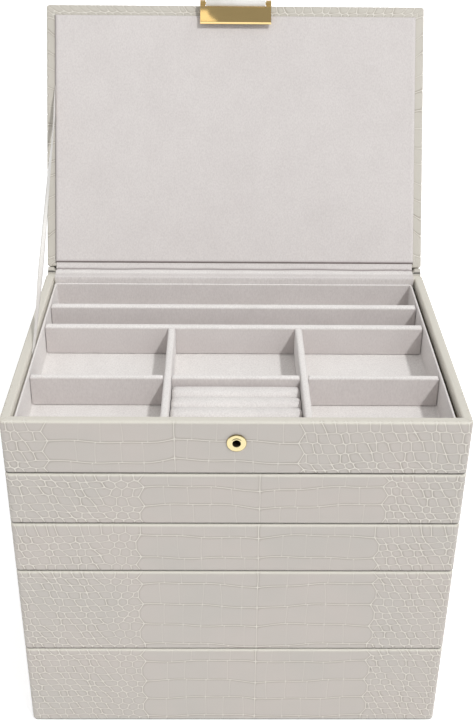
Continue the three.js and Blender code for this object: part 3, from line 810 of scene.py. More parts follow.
# where the cream rim tone, with its painted highlight, starts and ends round the rim's edge
creamBlend = (-0.5, 0.4)  # off the place where a tray's rim starts to round
noRim = 99  # past any row or place, for a sheet without a cream rim


# Bends the flat sheet round the box; the painted fold value is above 0 on the cream rim and below 0 at the
# foot, where it paints the shadow in the seam under each tray
def roundSheet(bm, plan, section, foldFrom, shaded=True):
    foldAndShade = bm.verts.layers.float["foldAndShade"]
    for vert in bm.verts:
        s, t, rise = vert.co
        inset, z, outIn, outUp = sectionAt(section, t)
        x, y = planAt(plan, min(max(s, 0), plan["length"]), inset + rise * outIn)
        vert[foldAndShade] = smoothStep((t - foldFrom[0]) / (foldFrom[1] - foldFrom[0]))
        faded = smoothStep((t - seamShade["from"]) / seamShade["reach"])
        vert[foldAndShade] -= seamShade["depth"] * (1 - faded) * shaded
        vert.co = (x, y, z + rise * outUp)
    bmesh.ops.remove_doubles(bm, verts=bm.verts[:], dist=0.002)


def cornerCuts(plan, steps=5):
    cuts = []
    for part in (1, 3, 5, 7):
        cuts += [plan["starts"][part] + plan["lengths"][part] * n / steps for n in range(steps + 1)]
    return cuts


def sectionLength(section):
    return section[-1][0] + section[-1][1]


def finishSheet(name, bm, material, place=None):
    bmesh.ops.recalc_face_normals(bm, faces=bm.faces[:])
    mesh = bpy.data.meshes.new(name)
    bm.to_mesh(mesh)
    bm.free()
    mesh.transform(Matrix.Scale(mm, 4) @ (place or Matrix()))
    piece = placePiece(name, mesh, material)
    evenNormals(piece)
    return piece


# Tray wraps: how far below its rim each tray's row lines run, and its belly on the front
wraps = {
    "base_tray": {"rows": [9.2, 25.2, 39.9, 55.3], "belly": (-53, 79, 13), "seed": 5, "kink": -1.7},
    "lower_tray": {"rows": [9.2, 25.0, 40.0, 55.7], "belly": (-53, 79, 13), "seed": 4, "kink": -1.7},
    "middle_tray": {"rows": [7.9, 23.0], "belly": (-53, 78, 13), "seed": 3, "kink": -1.7},
    "upper_tray": {"rows": [8.7, 20.6], "belly": (-50, 80, 13), "seed": 2, "kink": -1.7},
    "top_tray": {"rows": [13.1, 26.1], "belly": (-100, 33, -33), "seed": 1, "kink": 2.6, "roundZone": 8},
}
sideBellies = [(24, 92, 60), (160, 262, 208), (590, 696, 640), (762, 830, 800)]  # round the back and sides
socketHole = 3.7  # half the square that is left open behind the socket's ring


def openBack(bm, y, z, reach):  # carries the socket's hole through the inner side of the skin
    for place in (z - reach, z + reach):
        everything = bm.verts[:] + bm.edges[:] + bm.faces[:]
        bmesh.ops.bisect_plane(bm, geom=everything, dist=0.001, plane_co=(0, 0, place), plane_no=(0, 0, 1))

    def inHole(vert, room):
        return abs(vert.co.x) < reach + room and abs(vert.co.z - z) < reach + room and vert.co.y < y + room

    behind = [face for face in bm.faces
              if all(inHole(vert, 0.01) and abs(vert.co.y - y) < 0.01 for vert in face.verts)]
    bmesh.ops.delete(bm, geom=behind, context="FACES")
    rims = [edge for edge in bm.edges
            if len(edge.link_faces) == 1 and all(inHole(vert, 0.1) for vert in edge.verts)]
    bmesh.ops.bridge_loops(bm, edges=rims)


def traySection(height):
    turn = board["round"]
    return makeSection([
        (turn, turn, turn, 270, 180),
        (0, turn, 0, height - turn),
        (turn, height - turn, turn, 180, 90),
        (turn, height, board["rimWidth"] - turn, height),
        (board["rimWidth"] - turn, height - turn, turn, 90, 0),
        (board["rimWidth"], height - turn, board["rimWidth"], height - board["turnIn"]),
    ])


def addWrap(tray):
    look = wraps[tray]
    low, high = nodeBox(f"{tray}_wrap")
    height = high.z - low.z
    plan = makePlan(boxWidth, boxDepth)
    section = traySection(height)
    bend = section[0][1]
    rimStart = section[2][0]
    rimEdge = rimStart + bend / 2
    upFrom = bend + height - board["round"]  # the distance up the sheet, less the depth below the rim
    rows = [0] + sorted(upFrom - depth for depth in look["rows"])
    rows += [rimEdge, section[4][0] + bend / 2, sectionLength(section)]
    rows = [row for n, row in enumerate(rows) if n == 0 or row - rows[n - 1] > 2]
    bellies = [tuple(frontSpot(plan, x) for x in look["belly"])] + sideBellies
    sheet = {
        **hide, **look, "length": plan["length"], "rows": rows, "bellies": sorted(bellies),
        "mitres": plan["mitres"], "straight": {0, len(rows) - 3, len(rows) - 1}, "rimFrom": len(rows) - 3,
    }
    cutsUp = [section[n][0] + bend * k / 4 for n in (0, 2, 4) for k in range(5)][1:]
    cutsUp += [bend + board["flatFrom"], rimStart - board["flatFrom"]]
    hole = None
    if tray == "top_tray":
        socketLow, socketHigh = nodeBox("snap_socket")
        spotUp = upFrom - (high.z - (socketLow.z + socketHigh.z) / 2)
        hole = (frontSpot(plan, 0), spotUp, socketHole)
    cutsAlong = cornerCuts(plan)
    if hole:
        cutsAlong += [hole[0] - hole[2], hole[0] + hole[2]]
        cutsUp += [hole[1] - hole[2], hole[1] + hole[2]]
    bm = sheetMesh(sheet, cutsAlong, cutsUp, hole)
    roundSheet(bm, plan, section, [rimStart + off for off in creamBlend])
    skin, inner = board["skin"], board["rimWidth"] - board["skin"]
    foldEnd = height - board["turnIn"]
    foldEdges = openEdges(bm, foldEnd, board["rimWidth"], plan)
    footEdges = openEdges(bm, 0, board["round"], plan)
    upper = carryLoop(bm, foldEdges, plan, [(inner, foldEnd), (inner, height - skin), (skin, height - skin)])
    under = board["turnUnder"]
    lower = carryLoop(bm, footEdges, plan, [(under, 0), (under, skin), (skin, skin)])
    bmesh.ops.bridge_loops(bm, edges=upper + lower)
    if hole:
        openBack(bm, skin - boxDepth / 2, (socketLow.z + socketHigh.z) / 2 - low.z, socketHole)
    piece = finishSheet(f"{tray}_leather", bm, leather, Matrix.Translation((0, 0, low.z)))
    rideAs(piece, tray, "leather", f"{tray}_wrap")
    print("leather laid on", tray, len(piece.data.vertices), "points")


for tray in trays:
    addWrap(tray)


# Lid leather: a strip over its edges with a border turned in, and a panel on the outer face
lidLay = {
    "seed": 11, "bellyScale": 12, "bellyLine": 1.0, "kink": 1,
    "hem": 3, "lap": 1, "lapDrop": 0.5, "panelInset": 1.2, "panelRows": 15, "panelKink": -1.5,
    "bellies": [(6, 116, -50), (130, 288, -50), (552, 710, -50), (724, 832, -50)],
}


def addLidLeather():
    thick, turn, border = board["lidThick"], board["round"], board["lidTurnIn"]
    plan = makePlan(boxWidth, lidDepth, (0, -board["lidSetback"] / 2), board["lidCorner"])
    section = makeSection([
        (border, 0, turn, 0),
        (turn, turn, turn, 270, 180),
        (0, turn, 0, thick - turn),
        (turn, thick - turn, turn, 180, 90),
    ])
    bend = section[1][1]
    rows = [0, section[1][0] + bend / 2, sectionLength(section)]
    sheet = {
        **hide, **lidLay, "length": plan["length"], "rows": rows, "mitres": plan["mitres"],
        "straight": {0, 1, 2}, "rimFrom": noRim,
    }
    cutsUp = [section[n][0] + bend * k / 4 for n in (1, 3) for k in range(5)][:-1]
    bm = sheetMesh(sheet, cornerCuts(plan), cutsUp)
    roundSheet(bm, plan, section, (noRim, noRim + 1), False)
    inner = openEdges(bm, 0, border, plan)
    outer = openEdges(bm, thick, turn, plan)
    carryLoop(bm, inner, plan, [(border, board["skin"]), (border - lidLay["hem"], board["skin"])])
    carryLoop(bm, outer, plan, [(turn + lidLay["lap"], thick - lidLay["lapDrop"])])
    shut = Matrix.Translation((0, 0, rimZ + board["seat"]))
    rideAs(finishSheet("lid_leather", bm, lidLeather, openLid @ shut), "lid", "lid_leather", "lid_wrap")

    wide, deep = boxWidth - 2 * lidLay["panelInset"], lidDepth - 2 * lidLay["panelInset"]
    count = round(deep / lidLay["panelRows"])
    panel = {
        **hide, "length": wide, "rows": [deep * n / count for n in range(count + 1)], "mitres": [],
        "bellies": [(wide * 0.3, wide * 0.72, wide * 0.5)], "rimFrom": noRim, "straight": {0, count},
        "seed": lidLay["seed"] + 1, "kink": lidLay["panelKink"],
    }
    bm = sheetMesh(panel, [], [])
    radius = board["lidCorner"] - lidLay["panelInset"]
    for vert in bm.verts:
        x, y = vert.co.x - wide / 2, vert.co.y - deep / 2
        over = Vector((abs(x) - wide / 2 + radius, abs(y) - deep / 2 + radius))
        if over.x > 0 and over.y > 0 and over.length > radius:
            over *= radius / over.length
            x = math.copysign(wide / 2 - radius + over.x, x)
            y = math.copysign(deep / 2 - radius + over.y, y)
        vert.co = (x, y - board["lidSetback"] / 2, thick + vert.co.z)
    piece = finishSheet("lid_panel", bm, leather, openLid @ shut)
    rideAs(piece, "lid", "lid_leather", "lid_wrap")


addLidLeather()
print("leather laid on the lid")


# Velvet liners: thin walls with a rolled lip, and a floor with soft inner corners
linerShape = {
    "wall": 1.4, "floor": 4.5, "foot": 0.9, "footReach": 6, "footTuck": 0.2, "footRise": 2, "soft": 1.6,
    "floorReach": 4, "corner": 2, "spacing": 9, "sway": 0.12, "swayUnder": 2, "napAndLight": 0.2,
}


def ringPiece(name, plan, profile, spacing, material):
    stations = set()
    for part, (start, size) in enumerate(zip(plan["starts"], plan["lengths"])):
        steps = 4 if part % 2 else max(1, round(size / spacing))
        stations.update(start + size * n / steps for n in range(steps))
    stations = sorted(stations)
    points = [(*planAt(plan, s, inset), z) for inset, z in profile for s in stations]
    return meshPiece(name, points, tubeFaces(len(stations), len(profile) - 1), material)


def addLiner(tray):
    low, high = nodeBox(f"{tray}_liner")
    shape = linerShape
    size = high - low
    plan = makePlan(size.x, size.y, ((low.x + high.x) / 2, (low.y + high.y) / 2), shape["corner"])
    lip, wall, soft = shape["wall"] / 2, shape["wall"], shape["soft"]
    profile = [(shape["foot"] + shape["footReach"], low.z), (shape["foot"], low.z)]
    profile += [(shape["footTuck"], low.z + shape["foot"]), (0, low.z + shape["footRise"])]
    profile += [(0, low.z + (size.z - lip) * share) for share in (0.35, 0.7, 1)]
    profile += [(lip - lip * math.cos(math.pi * n / 6), high.z - lip + lip * math.sin(math.pi * n / 6))
                for n in range(1, 6)]
    floorZ = low.z + shape["floor"]
    profile += [(wall, floorZ + soft + (high.z - lip - floorZ - soft) * share) for share in (1, 0.6, 0.25)]
    for n in range(6):
        turn = math.pi / 2 * n / 5
        profile.append((wall + soft - soft * math.cos(turn), floorZ + soft - soft * math.sin(turn)))
    profile.append((wall + soft + shape["floorReach"], floorZ))
    piece = ringPiece(f"{tray}_lining", plan, profile, shape["spacing"], velvet)
    for vert in piece.data.vertices:  # the card under the velvet isn't quite straight
        sway = noise.noise(vert.co * 60) * shape["sway"] * mm
        vert.co.z += sway if vert.co.z > (high.z - shape["swayUnder"]) * mm else 0
        vert.co.z = min(vert.co.z, high.z * mm)
    paintNapAndLight(piece, shape["napAndLight"])
    evenNormals(piece)
    rideAs(piece, tray, "velvet", f"{tray}_liner")


for tray in trays:
    addLiner(tray)
print("liners in")


# Dividers: card under velvet, with rounded tops
dividerShape = {"top": 1.5, "edge": 0.45, "longEdge": 3, "sharp": 0.8, "spacing": 10, "sway": 0.1}


def softBlock(name, node, material, topRound, edgeRound, steps=4):
    low, high = nodeBox(node)
    bm = bmesh.new()
    bmesh.ops.create_cube(bm, size=1)
    size = high - low
    for vert in bm.verts:
        vert.co = low + Vector([(vert.co[k] + 0.5) * size[k] for k in range(3)])
    top = [edge for edge in bm.edges if all(vert.co.z > high.z - 0.01 for vert in edge.verts)]
    bmesh.ops.bevel(bm, geom=top, offset=topRound, segments=steps, profile=0.5, affect="EDGES")
    rest = [edge for edge in bm.edges if edge.calc_length() > dividerShape["longEdge"]
            and len(edge.link_faces) == 2 and edge.calc_face_angle() > dividerShape["sharp"]]
    bmesh.ops.bevel(bm, geom=rest, offset=edgeRound, segments=2, profile=0.5, affect="EDGES")
    along = 0 if size.x > size.y else 1
    steps = round(size[along] / dividerShape["spacing"])
    for n in range(1, steps):
        place = Vector((0, 0, 0))
        place[along] = low[along] + size[along] * n / steps
        normal = Vector((along == 0, along == 1, 0))
        parts = bm.verts[:] + bm.edges[:] + bm.faces[:]
        bmesh.ops.bisect_plane(bm, geom=parts, plane_co=place, plane_no=normal)
    middle = (low + high) / 2
    for vert in bm.verts:
        inward = (middle - vert.co).normalized()
        vert.co += inward * dividerShape["sway"] * (1 + noise.noise(vert.co * 0.09)) / 2
    mesh = bpy.data.meshes.new(name)
    bm.to_mesh(mesh)
    bm.free()
    mesh.transform(Matrix.Scale(mm, 4))
    piece = placePiece(name, mesh, material)
    paintNapAndLight(piece)
    evenNormals(piece)
    return piece


def bodyOf(node):
    return frame["nodes"][node]["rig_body"]


for node in frame["nodes"]:
    if "divider" in node or "_column" in node or "_cross" in node:
        piece = softBlock(f"{node}_velvet", node, velvet, dividerShape["top"], dividerShape["edge"])
        rideAs(piece, bodyOf(node), "velvet", node)
print("dividers in")


# Ring rolls: foam under velvet, round on top, with drawn-in ends
rollShape = {
    "top": 4.4, "foot": 1.0, "end": 2.6, "draw": 0.35, "pucker": 0.16, "puckerReach": 3, "crown": 0.5,
    "coreShare": 0.45, "stations": 40, "napAndLight": 0.75,
}


def rollOutline(width, height):  # half a section from the middle of the foot to the crown
    shape = rollShape
    half, foot, top = width / 2, shape["foot"], shape["top"]
    side = [(0, 0), (half * 0.6, 0)]
    turns = (0, 0.5, 1.0, math.pi / 2)
    side += [(half - foot + foot * math.sin(turn), foot - foot * math.cos(turn)) for turn in turns]
    side += [(half, height * share) for share in (0.3, 0.5)]
    shoulder = height - top - shape["crown"]
    for n in range(9):
        angle = math.pi / 2 * n / 8
        across = half * math.cos(angle) ** 0.8
        side.append((across, shoulder + (top + shape["crown"]) * math.sin(angle) ** 0.9))
    return side


def addRoll(node, seed):
    low, high = nodeBox(node)
    size = high - low
    side = rollOutline(size.y, size.z)
    outline = side + [(-y, z) for y, z in side[-2:0:-1]]
    points, stations = [], rollShape["stations"]
    middle = size.z * rollShape["coreShare"]
    for n in range(stations + 1):
        share = 0.5 - 0.5 * math.cos(math.pi * n / stations)
        x = low.x + size.x * share
        toEnd = min(x - low.x, high.x - x) / rollShape["end"]
        shrink = 1 if toEnd >= 1 else 1 - rollShape["draw"] * (1 - math.sqrt(1 - (1 - toEnd) ** 2))
        for k, (y, z) in enumerate(outline):
            near = max(0, 1 - toEnd / rollShape["puckerReach"])
            crease = 1 - rollShape["pucker"] * near * (1 + math.sin(2.6 * k + seed)) / 2
            around = shrink * crease
            points.append((x, (low.y + high.y) / 2 + y * around, low.z + middle + (z - middle) * around))
    piece = meshPiece(f"{node}_velvet", points, tubeFaces(len(outline), stations), velvet)
    piece.data.flip_normals()
    paintNapAndLight(piece, rollShape["napAndLight"])
    rideAs(piece, "top_tray", "velvet", node)


for n in range(4):
    addRoll(f"ring_roll_{n + 1}", n)
print("rolls in")


# Lid pad: velvet over thin wadding, glued at its edge and crowned in the middle
pad = {
    "side": 5.6, "rear": 2.2, "front": 6.9, "gap": 0.3, "proud": 2.6, "roll": 1.7, "swell": 0.75,
    "cells": 36, "frames": 14, "pressure": 0.35, "cap": 4.0, "spacing": 5, "dimple": 0.05, "least": 0.15,
    "napAndLight": 0.3, "edgeShade": 3, "rearShade": 2.2, "leftShade": 0.9, "shadeReach": 2.2,
}


def swellPad(width, depth):  # how far the pad's top rises at each place, from 0 to 1
    across, along = pad["cells"], round(pad["cells"] * depth / width)
    grid = [(x, y) for y in range(along + 1) for x in range(across + 1)]
    points = [(x / across * width * mm, y / along * depth * mm, 0) for x, y in grid]
    step = across + 1
    mesh = bpy.data.meshes.new("pad cloth")
    mesh.from_pydata(points, [], gridFaces(step, along + 1))
    cloth = bpy.data.objects.new("pad cloth", mesh)
    bpy.context.collection.objects.link(cloth)
    held = cloth.vertex_groups.new(name="glued")
    held.add(gridRim(step, along + 1), 1, "REPLACE")
    settings = cloth.modifiers.new("cloth", "CLOTH").settings
    settings.vertex_group_mass = "glued"
    settings.use_pressure = True
    settings.uniform_pressure_force = pad["pressure"]
    settings.effector_weights.gravity = 0
    settings.quality = 6
    settings.tension_stiffness = settings.compression_stiffness = 12
    settings.bending_stiffness = 2
    for moment in range(1, pad["frames"] + 1):
        bpy.context.scene.frame_set(moment)
    moved = cloth.evaluated_get(bpy.context.evaluated_depsgraph_get()).data
    heights = [abs(vert.co.z) / mm for vert in moved.vertices]
    heights = [pad["cap"] * math.tanh(height / pad["cap"]) for height in heights]
    highest = max(heights) or 1
    bpy.context.scene.frame_set(1)
    bpy.data.objects.remove(cloth)
    print("pad swollen by", round(highest, 2), "mm before it is pressed to size")

    def rise(u, v):
        x, y = min(u * across, across - 1e-6), min(v * along, along - 1e-6)
        column, row = int(x), int(y)
        corner = row * step + column
        low = heights[corner] * (1 - x + column) + heights[corner + 1] * (x - column)
        corner += step
        top = heights[corner] * (1 - x + column) + heights[corner + 1] * (x - column)
        return (low + (top - low) * (y - row)) / highest
    return rise


def spread(size, edge):  # places across the pad, close together near its edges
    near = [0, edge * 0.06, edge * 0.2, edge * 0.45, edge * 0.75, edge, edge * 1.6, edge * 3]
    count = round((size - 2 * near[-1]) / pad["spacing"])
    middle = [near[-1] + (size - 2 * near[-1]) * n / count for n in range(1, count)]
    return near + middle + [size - place for place in near[::-1]]


def addPad():
    width, depth = boxWidth - 2 * pad["side"], lidDepth - pad["rear"] - pad["front"]
    height = pad["proud"] - pad["gap"]
    rise = swellPad(width, depth)
    placesX, placesY = spread(width, pad["roll"]), spread(depth, pad["roll"])
    points, shades = [], []
    for y in placesY:
        for x in placesX:
            edge = min(x, width - x, y, depth - y)
            # painted shadow along the pad's rear and left edges
            fromRear, fromLeft = (pad[key] * smoothStep(1 - gap / pad["shadeReach"])
                                  for key, gap in (("rearShade", y), ("leftShade", x)))
            shades.append(max(fromRear, fromLeft))
            share = min(1, edge / pad["roll"])
            rolled = math.sqrt(1 - (1 - share) ** 2)
            crown = pad["swell"] + (1 - pad["swell"]) * rise(x / width, y / depth)
            dimple = pad["dimple"] * noise.noise((x * 0.03, y * 0.03, 4)) * share
            lift = max(pad["least"], (height - pad["dimple"]) * rolled * crown + dimple)
            points.append(onLid(x - width / 2, pad["rear"] + y, pad["gap"] + lift))
    faces = gridFaces(len(placesX), len(placesY))
    rim = gridRim(len(placesX), len(placesY))
    start = len(points)
    flat = openLid.inverted()
    for spot in rim:
        shut = flat @ points[spot]
        points.append(openLid @ Vector((shut.x, shut.y, rimZ + board["seat"] - pad["gap"])))
        shades.append(shades[spot])
    for n in range(len(rim)):
        m = (n + 1) % len(rim)
        faces.append([rim[m], rim[n], start + n, start + m])
    faces.append([start + n for n in range(len(rim))])
    piece = meshPiece("lid_pad_velvet", points, faces, velvet)
    faceOutward(piece)
    # painted shade where the pad faces away from the key light, together with the painted edge shadows
    away = sunFrom * -pad["edgeShade"]
    normals = [vert.normal for vert in piece.data.vertices]
    paint(piece, "napAndLight", [
        pad["napAndLight"] - max(0, normal.dot(away), shade) for normal, shade in zip(normals, shades)])
    rideAs(piece, "lid", "velvet", "lid_pad")


addPad()
print("pad on the lid")


# Soft strips that bend where they cross the hinge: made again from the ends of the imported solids
hingeY = lidHinge["pos_m"][1] / mm
gussetEnd = nodeBox("hinge_gusset")[1].x
strips = {
    "spacing": 3.5, "gussetSpacing": 1.6, "strapSpacing": 6.5, "sharp": 0.9,
    "napAndLight": 0.35, "litAt": hingeY, "litReach": 1.8, "lit": 0.4,
    "endFrom": gussetEnd + 0.2, "endRise": 2.4, "endFoot": (hingeY + 1.8, hingeY + 9),
    "endSteps": (0, 0.6, 1.2, 2.4), "endOut": 0.8, "endFade": 1.2,
    "seamShadowAt": hingeY + 2.2, "seamShadowReach": 0.5,
    "spineCut": (0.247, 0.0329), "gussetCut": (0.2372, 0.0295),  # flat width and length, in metres
    # where the strips start and end their bend, in y and z off the joint
    "hingeFrom": (0, -3), "hingeTo": (4, 5), "strapFrom": (1, -1), "strapTo": (-2, -1),
}


def endOutline(node):  # the outline of the solid's left end, in order, as (y, z)
    mesh = frame["nodes"][node].data
    low = min(vert.co.x for vert in mesh.vertices)
    onEnd = {vert.index for vert in mesh.vertices if vert.co.x < low + 1e-6}
    spot = {n: tuple(round(value / mm, 3) for value in mesh.vertices[n].co[1:]) for n in onEnd}
    uses = {}
    for face in mesh.polygons:
        if all(n in onEnd for n in face.vertices):
            for a, b in face.edge_keys:
                key = frozenset((spot[a], spot[b]))
                uses[key] = uses.get(key, 0) + 1
    after = {}
    for key, count in uses.items():
        if count == 1 and len(key) == 2:
            a, b = key
            after.setdefault(a, []).append(b)
            after.setdefault(b, []).append(a)
    outline = [min(after)]
    outline.append(max(after[outline[0]], key=lambda place: place[1]))
    while True:
        following = next(place for place in after[outline[-1]] if place != outline[-2])
        if following == outline[0]:
            return outline
        outline.append(following)


def softened(path, rounds=3, finest=0.7):  # cuts a path's corners, then shortens its long steps
    for turn in range(rounds):
        cut = [path[0]]
        for (ay, az), (by, bz) in zip(path, path[1:]):
            share = min(0.25, 1.2 / math.dist((ay, az), (by, bz)))
            cut.append((ay + (by - ay) * share, az + (bz - az) * share))
            cut.append((by + (ay - by) * share, bz + (az - bz) * share))
        path = cut + [path[-1]]
    fine = [path[0]]
    for start, end in zip(path, path[1:]):
        steps = max(1, math.ceil(math.dist(start, end) / finest))
        fine += [tuple(a + (b - a) * n / steps for a, b in zip(start, end)) for n in range(1, steps + 1)]
    return fine


def softStrip(outline):  # the outline's two sides, softened alike
    half = len(outline) // 2
    return softened(outline[:half]) + softened(outline[half:])


# The gusset's fold behind the liner: the velvet round it is a little uneven, and wrinkled near its ends
crease = {
    "y": hingeY + 3, "reach": 0.55, "depth": 0.6, "wander": 0.5, "wrinkle": 0.35, "wrinkleReach": 9,
    "uneven": (hingeY - 4.6, hingeY + 5.4), "sway": 0.12, "shade": 1.2,
}


def creaseAt(x, y, toEnd):  # how much of the fold is at a place, and how far the velvet drops there
    wander = crease["y"] + crease["wander"] * noise.noise((x * 0.03, 2, 0))
    foldAndShade = math.exp(-((y - wander) / crease["reach"]) ** 2)
    ripple = math.exp(-toEnd / crease["wrinkleReach"]) * math.sin(x * 1.3 + y * 0.8)
    drop = crease["depth"] * foldAndShade
    if crease["uneven"][0] < y < crease["uneven"][1]:
        drop += crease["wrinkle"] * ripple - crease["sway"] * noise.noise((x * 0.08, y * 0.3, 1))
    return foldAndShade, drop


def endBulge(x, y):  # the spine's leather swells up at its ends, beside the gusset
    foot, head = strips["endFoot"]
    across = math.sin(math.pi * (y - foot) / (head - foot)) if foot < y < head else 0
    return strips["endRise"] * across * smoothStep((abs(x) - strips["endFrom"]) / strips["endFade"])


# painted shadow in the gap between the spine's ends and the rim
def endSeamShadow(x, y):  # the dark line between the spine's ends and the rim
    line = math.exp(-((y - strips["seamShadowAt"]) / strips["seamShadowReach"]) ** 2)
    return -line * smoothStep((abs(x) - strips["endFrom"]) / (strips["endFade"] / 2))


def addStrip(node, material, ends, spacing, soft=True, creased=False):
    low, high = nodeBox(node)
    outline = softStrip(endOutline(node)) if soft else endOutline(node)
    steps = max(1, round((high.x - low.x) / spacing))
    stations = [low.x + (high.x - low.x) * n / steps for n in range(steps + 1)]
    if node == "hinge_spine":
        stations += [side * (strips["endFrom"] + more) for side in (-1, 1) for more in strips["endSteps"]]
        stations.sort()
    points, napAndLightLevels, seamShadows = [], [], []
    for x in stations:
        toEnd = min(x - low.x, high.x - x)
        for k, (y, z) in enumerate(outline):
            foldAndShade, drop, out = 0, 0, 0
            if node == "hinge_spine":
                drop = -endBulge(x, y)
                out = strips["endOut"] * smoothStep((abs(x) - strips["endFrom"]) / strips["endFade"])
            if creased and k < len(outline) / 2:
                foldAndShade, drop = creaseAt(x, y, toEnd)
            points.append((x + math.copysign(out, x), y, z - drop))
            # painted light: a lit band along the hinge line; and painted shade in the gusset's fold
            lit = strips["lit"] * math.exp(-((y - strips["litAt"]) / strips["litReach"]) ** 2)
            napAndLightLevels.append(strips["napAndLight"] + lit - crease["shade"] * foldAndShade)
            seamShadows.append(endSeamShadow(x, y))
    faces = tubeFaces(len(outline), len(stations) - 1)
    piece = meshPiece(f"{node}_strip", points, faces, material)
    faceOutward(piece, strips["sharp"])
    restPlace(piece)
    paint(piece, "napAndLight", napAndLightLevels)
    paint(piece, "foldAndShade", seamShadows)
    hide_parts(node)
    first, second, start, end = ends
    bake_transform(piece, first, second, [value * mm for value in start], [value * mm for value in end])
    return piece


def restPlace(piece):
    kept = piece.data.attributes.new("restPlace", "FLOAT_VECTOR", "POINT")
    kept.data.foreach_set("vector", [value for vert in piece.data.vertices for value in vert.co])


def bendAt(joint, first, second, *offsets):  # the two bodies, and where a strip starts and ends its bend
    y, z = (value / mm for value in joint["pos_m"][1:])
    return first, second, *[(0, y + away, z + up) for away, up in offsets]


hingeEnds = bendAt(lidHinge, "top_tray", "lid", strips["hingeFrom"], strips["hingeTo"])
spine = addStrip("hinge_spine", spineLeather, hingeEnds, strips["spacing"])
gusset = addStrip("hinge_gusset", gussetVelvet, hingeEnds, strips["gussetSpacing"], creased=True)
strapEnds = bendAt(jointNamed("clasp_fold"), "lid", "clasp_bar", strips["strapFrom"], strips["strapTo"])
addStrip("clasp_strap", strapLeather, strapEnds, strips["strapSpacing"], soft=False)
print("hinge strips and strap in")


# Ribbon: straight and taut from the lid's border down beside the liner
ribbonShape = {
    "along": 90, "across": 6, "selvedge": 0.7, "turn": 15,
    "flatLow": 0.09, "fadeLow": 0.25, "flatHigh": 0.95, "fadeHigh": 0.2,  # shares of its length
    "lidFrom": 0.8,  # above this share of its length it goes with the lid, and folds down beside the liner
}


def addRibbon():
    low, high = nodeBox("lid_stay")
    corners = endOutline("lid_stay")
    corners.sort(key=lambda place: place[1])
    foot, head = sorted(corners[:2]), sorted(corners[2:])
    points, faces, selvedges = [], [], []
    middle, half = (low.x + high.x) / 2, (high.x - low.x) / 2
    along, across = ribbonShape["along"], ribbonShape["across"]
    for side in (-1, 1):
        for n in range(along + 1):
            for k in range(across + 1):
                up, over = n / along, k / across
                start = [foot[0][i] + (foot[1][i] - foot[0][i]) * over for i in (0, 1)]
                end = [head[0][i] + (head[1][i] - head[0][i]) * over for i in (0, 1)]
                y, z = (start[i] + (end[i] - start[i]) * up for i in (0, 1))
                free = smoothStep((up - ribbonShape["flatLow"]) / ribbonShape["fadeLow"])
                free *= smoothStep((ribbonShape["flatHigh"] - up) / ribbonShape["fadeHigh"])
                turned = math.sin(math.radians(ribbonShape["turn"]) * free) * math.dist(*foot) / 2
                turned *= 2 * over - 1
                thick = half if k in (0, across) else half * ribbonShape["selvedge"]
                points.append((middle + side * thick + turned, y, z))
                selvedges.append(abs(2 * over - 1))
    layer = (along + 1) * (across + 1)
    for quad in gridFaces(across + 1, along + 1):
        faces += [quad, [layer + spot for spot in quad[::-1]]]
    rim = gridRim(across + 1, along + 1)
    for n in range(len(rim)):
        m = (n + 1) % len(rim)
        faces.append([rim[m], rim[n], layer + rim[n], layer + rim[m]])
    piece = meshPiece("ribbon", points, faces, ribbonSatin)
    paint(piece, "selvedge", selvedges)
    restPlace(piece)
    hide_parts("lid_stay")
    footMiddle, headMiddle = ([(a + b) / 2 for a, b in zip(*pair)] for pair in (foot, head))
    start, end = (Vector((middle, *place)) * mm for place in (footMiddle, headMiddle))
    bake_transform(piece, "top_tray", "lid", start, start.lerp(end, ribbonShape["lidFrom"]))


addRibbon()
print("ribbon in")


# Gold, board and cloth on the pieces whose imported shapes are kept
kept = {
    "clasp_plate": (plateGold, "gold_metal"), "clasp_bar": (plateGold, "gold_metal"),
    "clasp_stud": (plateGold, "gold_metal"), "snap_socket": (socketGold, "gold_metal"),
    "socket_washer": (socketGold, "gold_metal"), "lid_board": (greyBoard, "board"),
}
for tray in trays:
    kept[f"{tray}_carcass"] = (greyBoard, "board")
    kept[f"{tray}_plinth"] = (plinthCloth, "plinth_cloth")
for node, (material, slot) in kept.items():
    keptPiece = frame["nodes"][node]
    keptPiece.data.materials.clear()
    keptPiece.data.materials.append(material)
print("kept pieces finished")


# A dark disc that closes the socket's rear end, as painted shade inside the bore; seat holds its size
seat = {"radius": 3.0, "thick": 0.2, "steps": 24, "ahead": 0.25}


def addShadeDisc():
    low, high = nodeBox("snap_socket")
    middle = (low + high) / 2
    points = []
    for y in (high.y - seat["ahead"] - seat["thick"], high.y - seat["ahead"]):
        for n in range(seat["steps"]):
            angle = 2 * math.pi * n / seat["steps"]
            x, z = seat["radius"] * math.cos(angle), seat["radius"] * math.sin(angle)
            points.append((middle.x + x, y, middle.z + z))
    piece = meshPiece("socket_shade_disc", points, tubeFaces(seat["steps"], 1), shadeDiscMetal, False)
    rideAs(piece, "top_tray", "gold_metal")


addShadeDisc()


# Camera: where the photograph was taken from, in millimetres and degrees
shot = {
    "place": (-7.0, -573.3, 539.1), "yaw": 0.77, "pitch": 29.82, "roll": 0.61, "focal": 1098.5, "tall": 720,
}


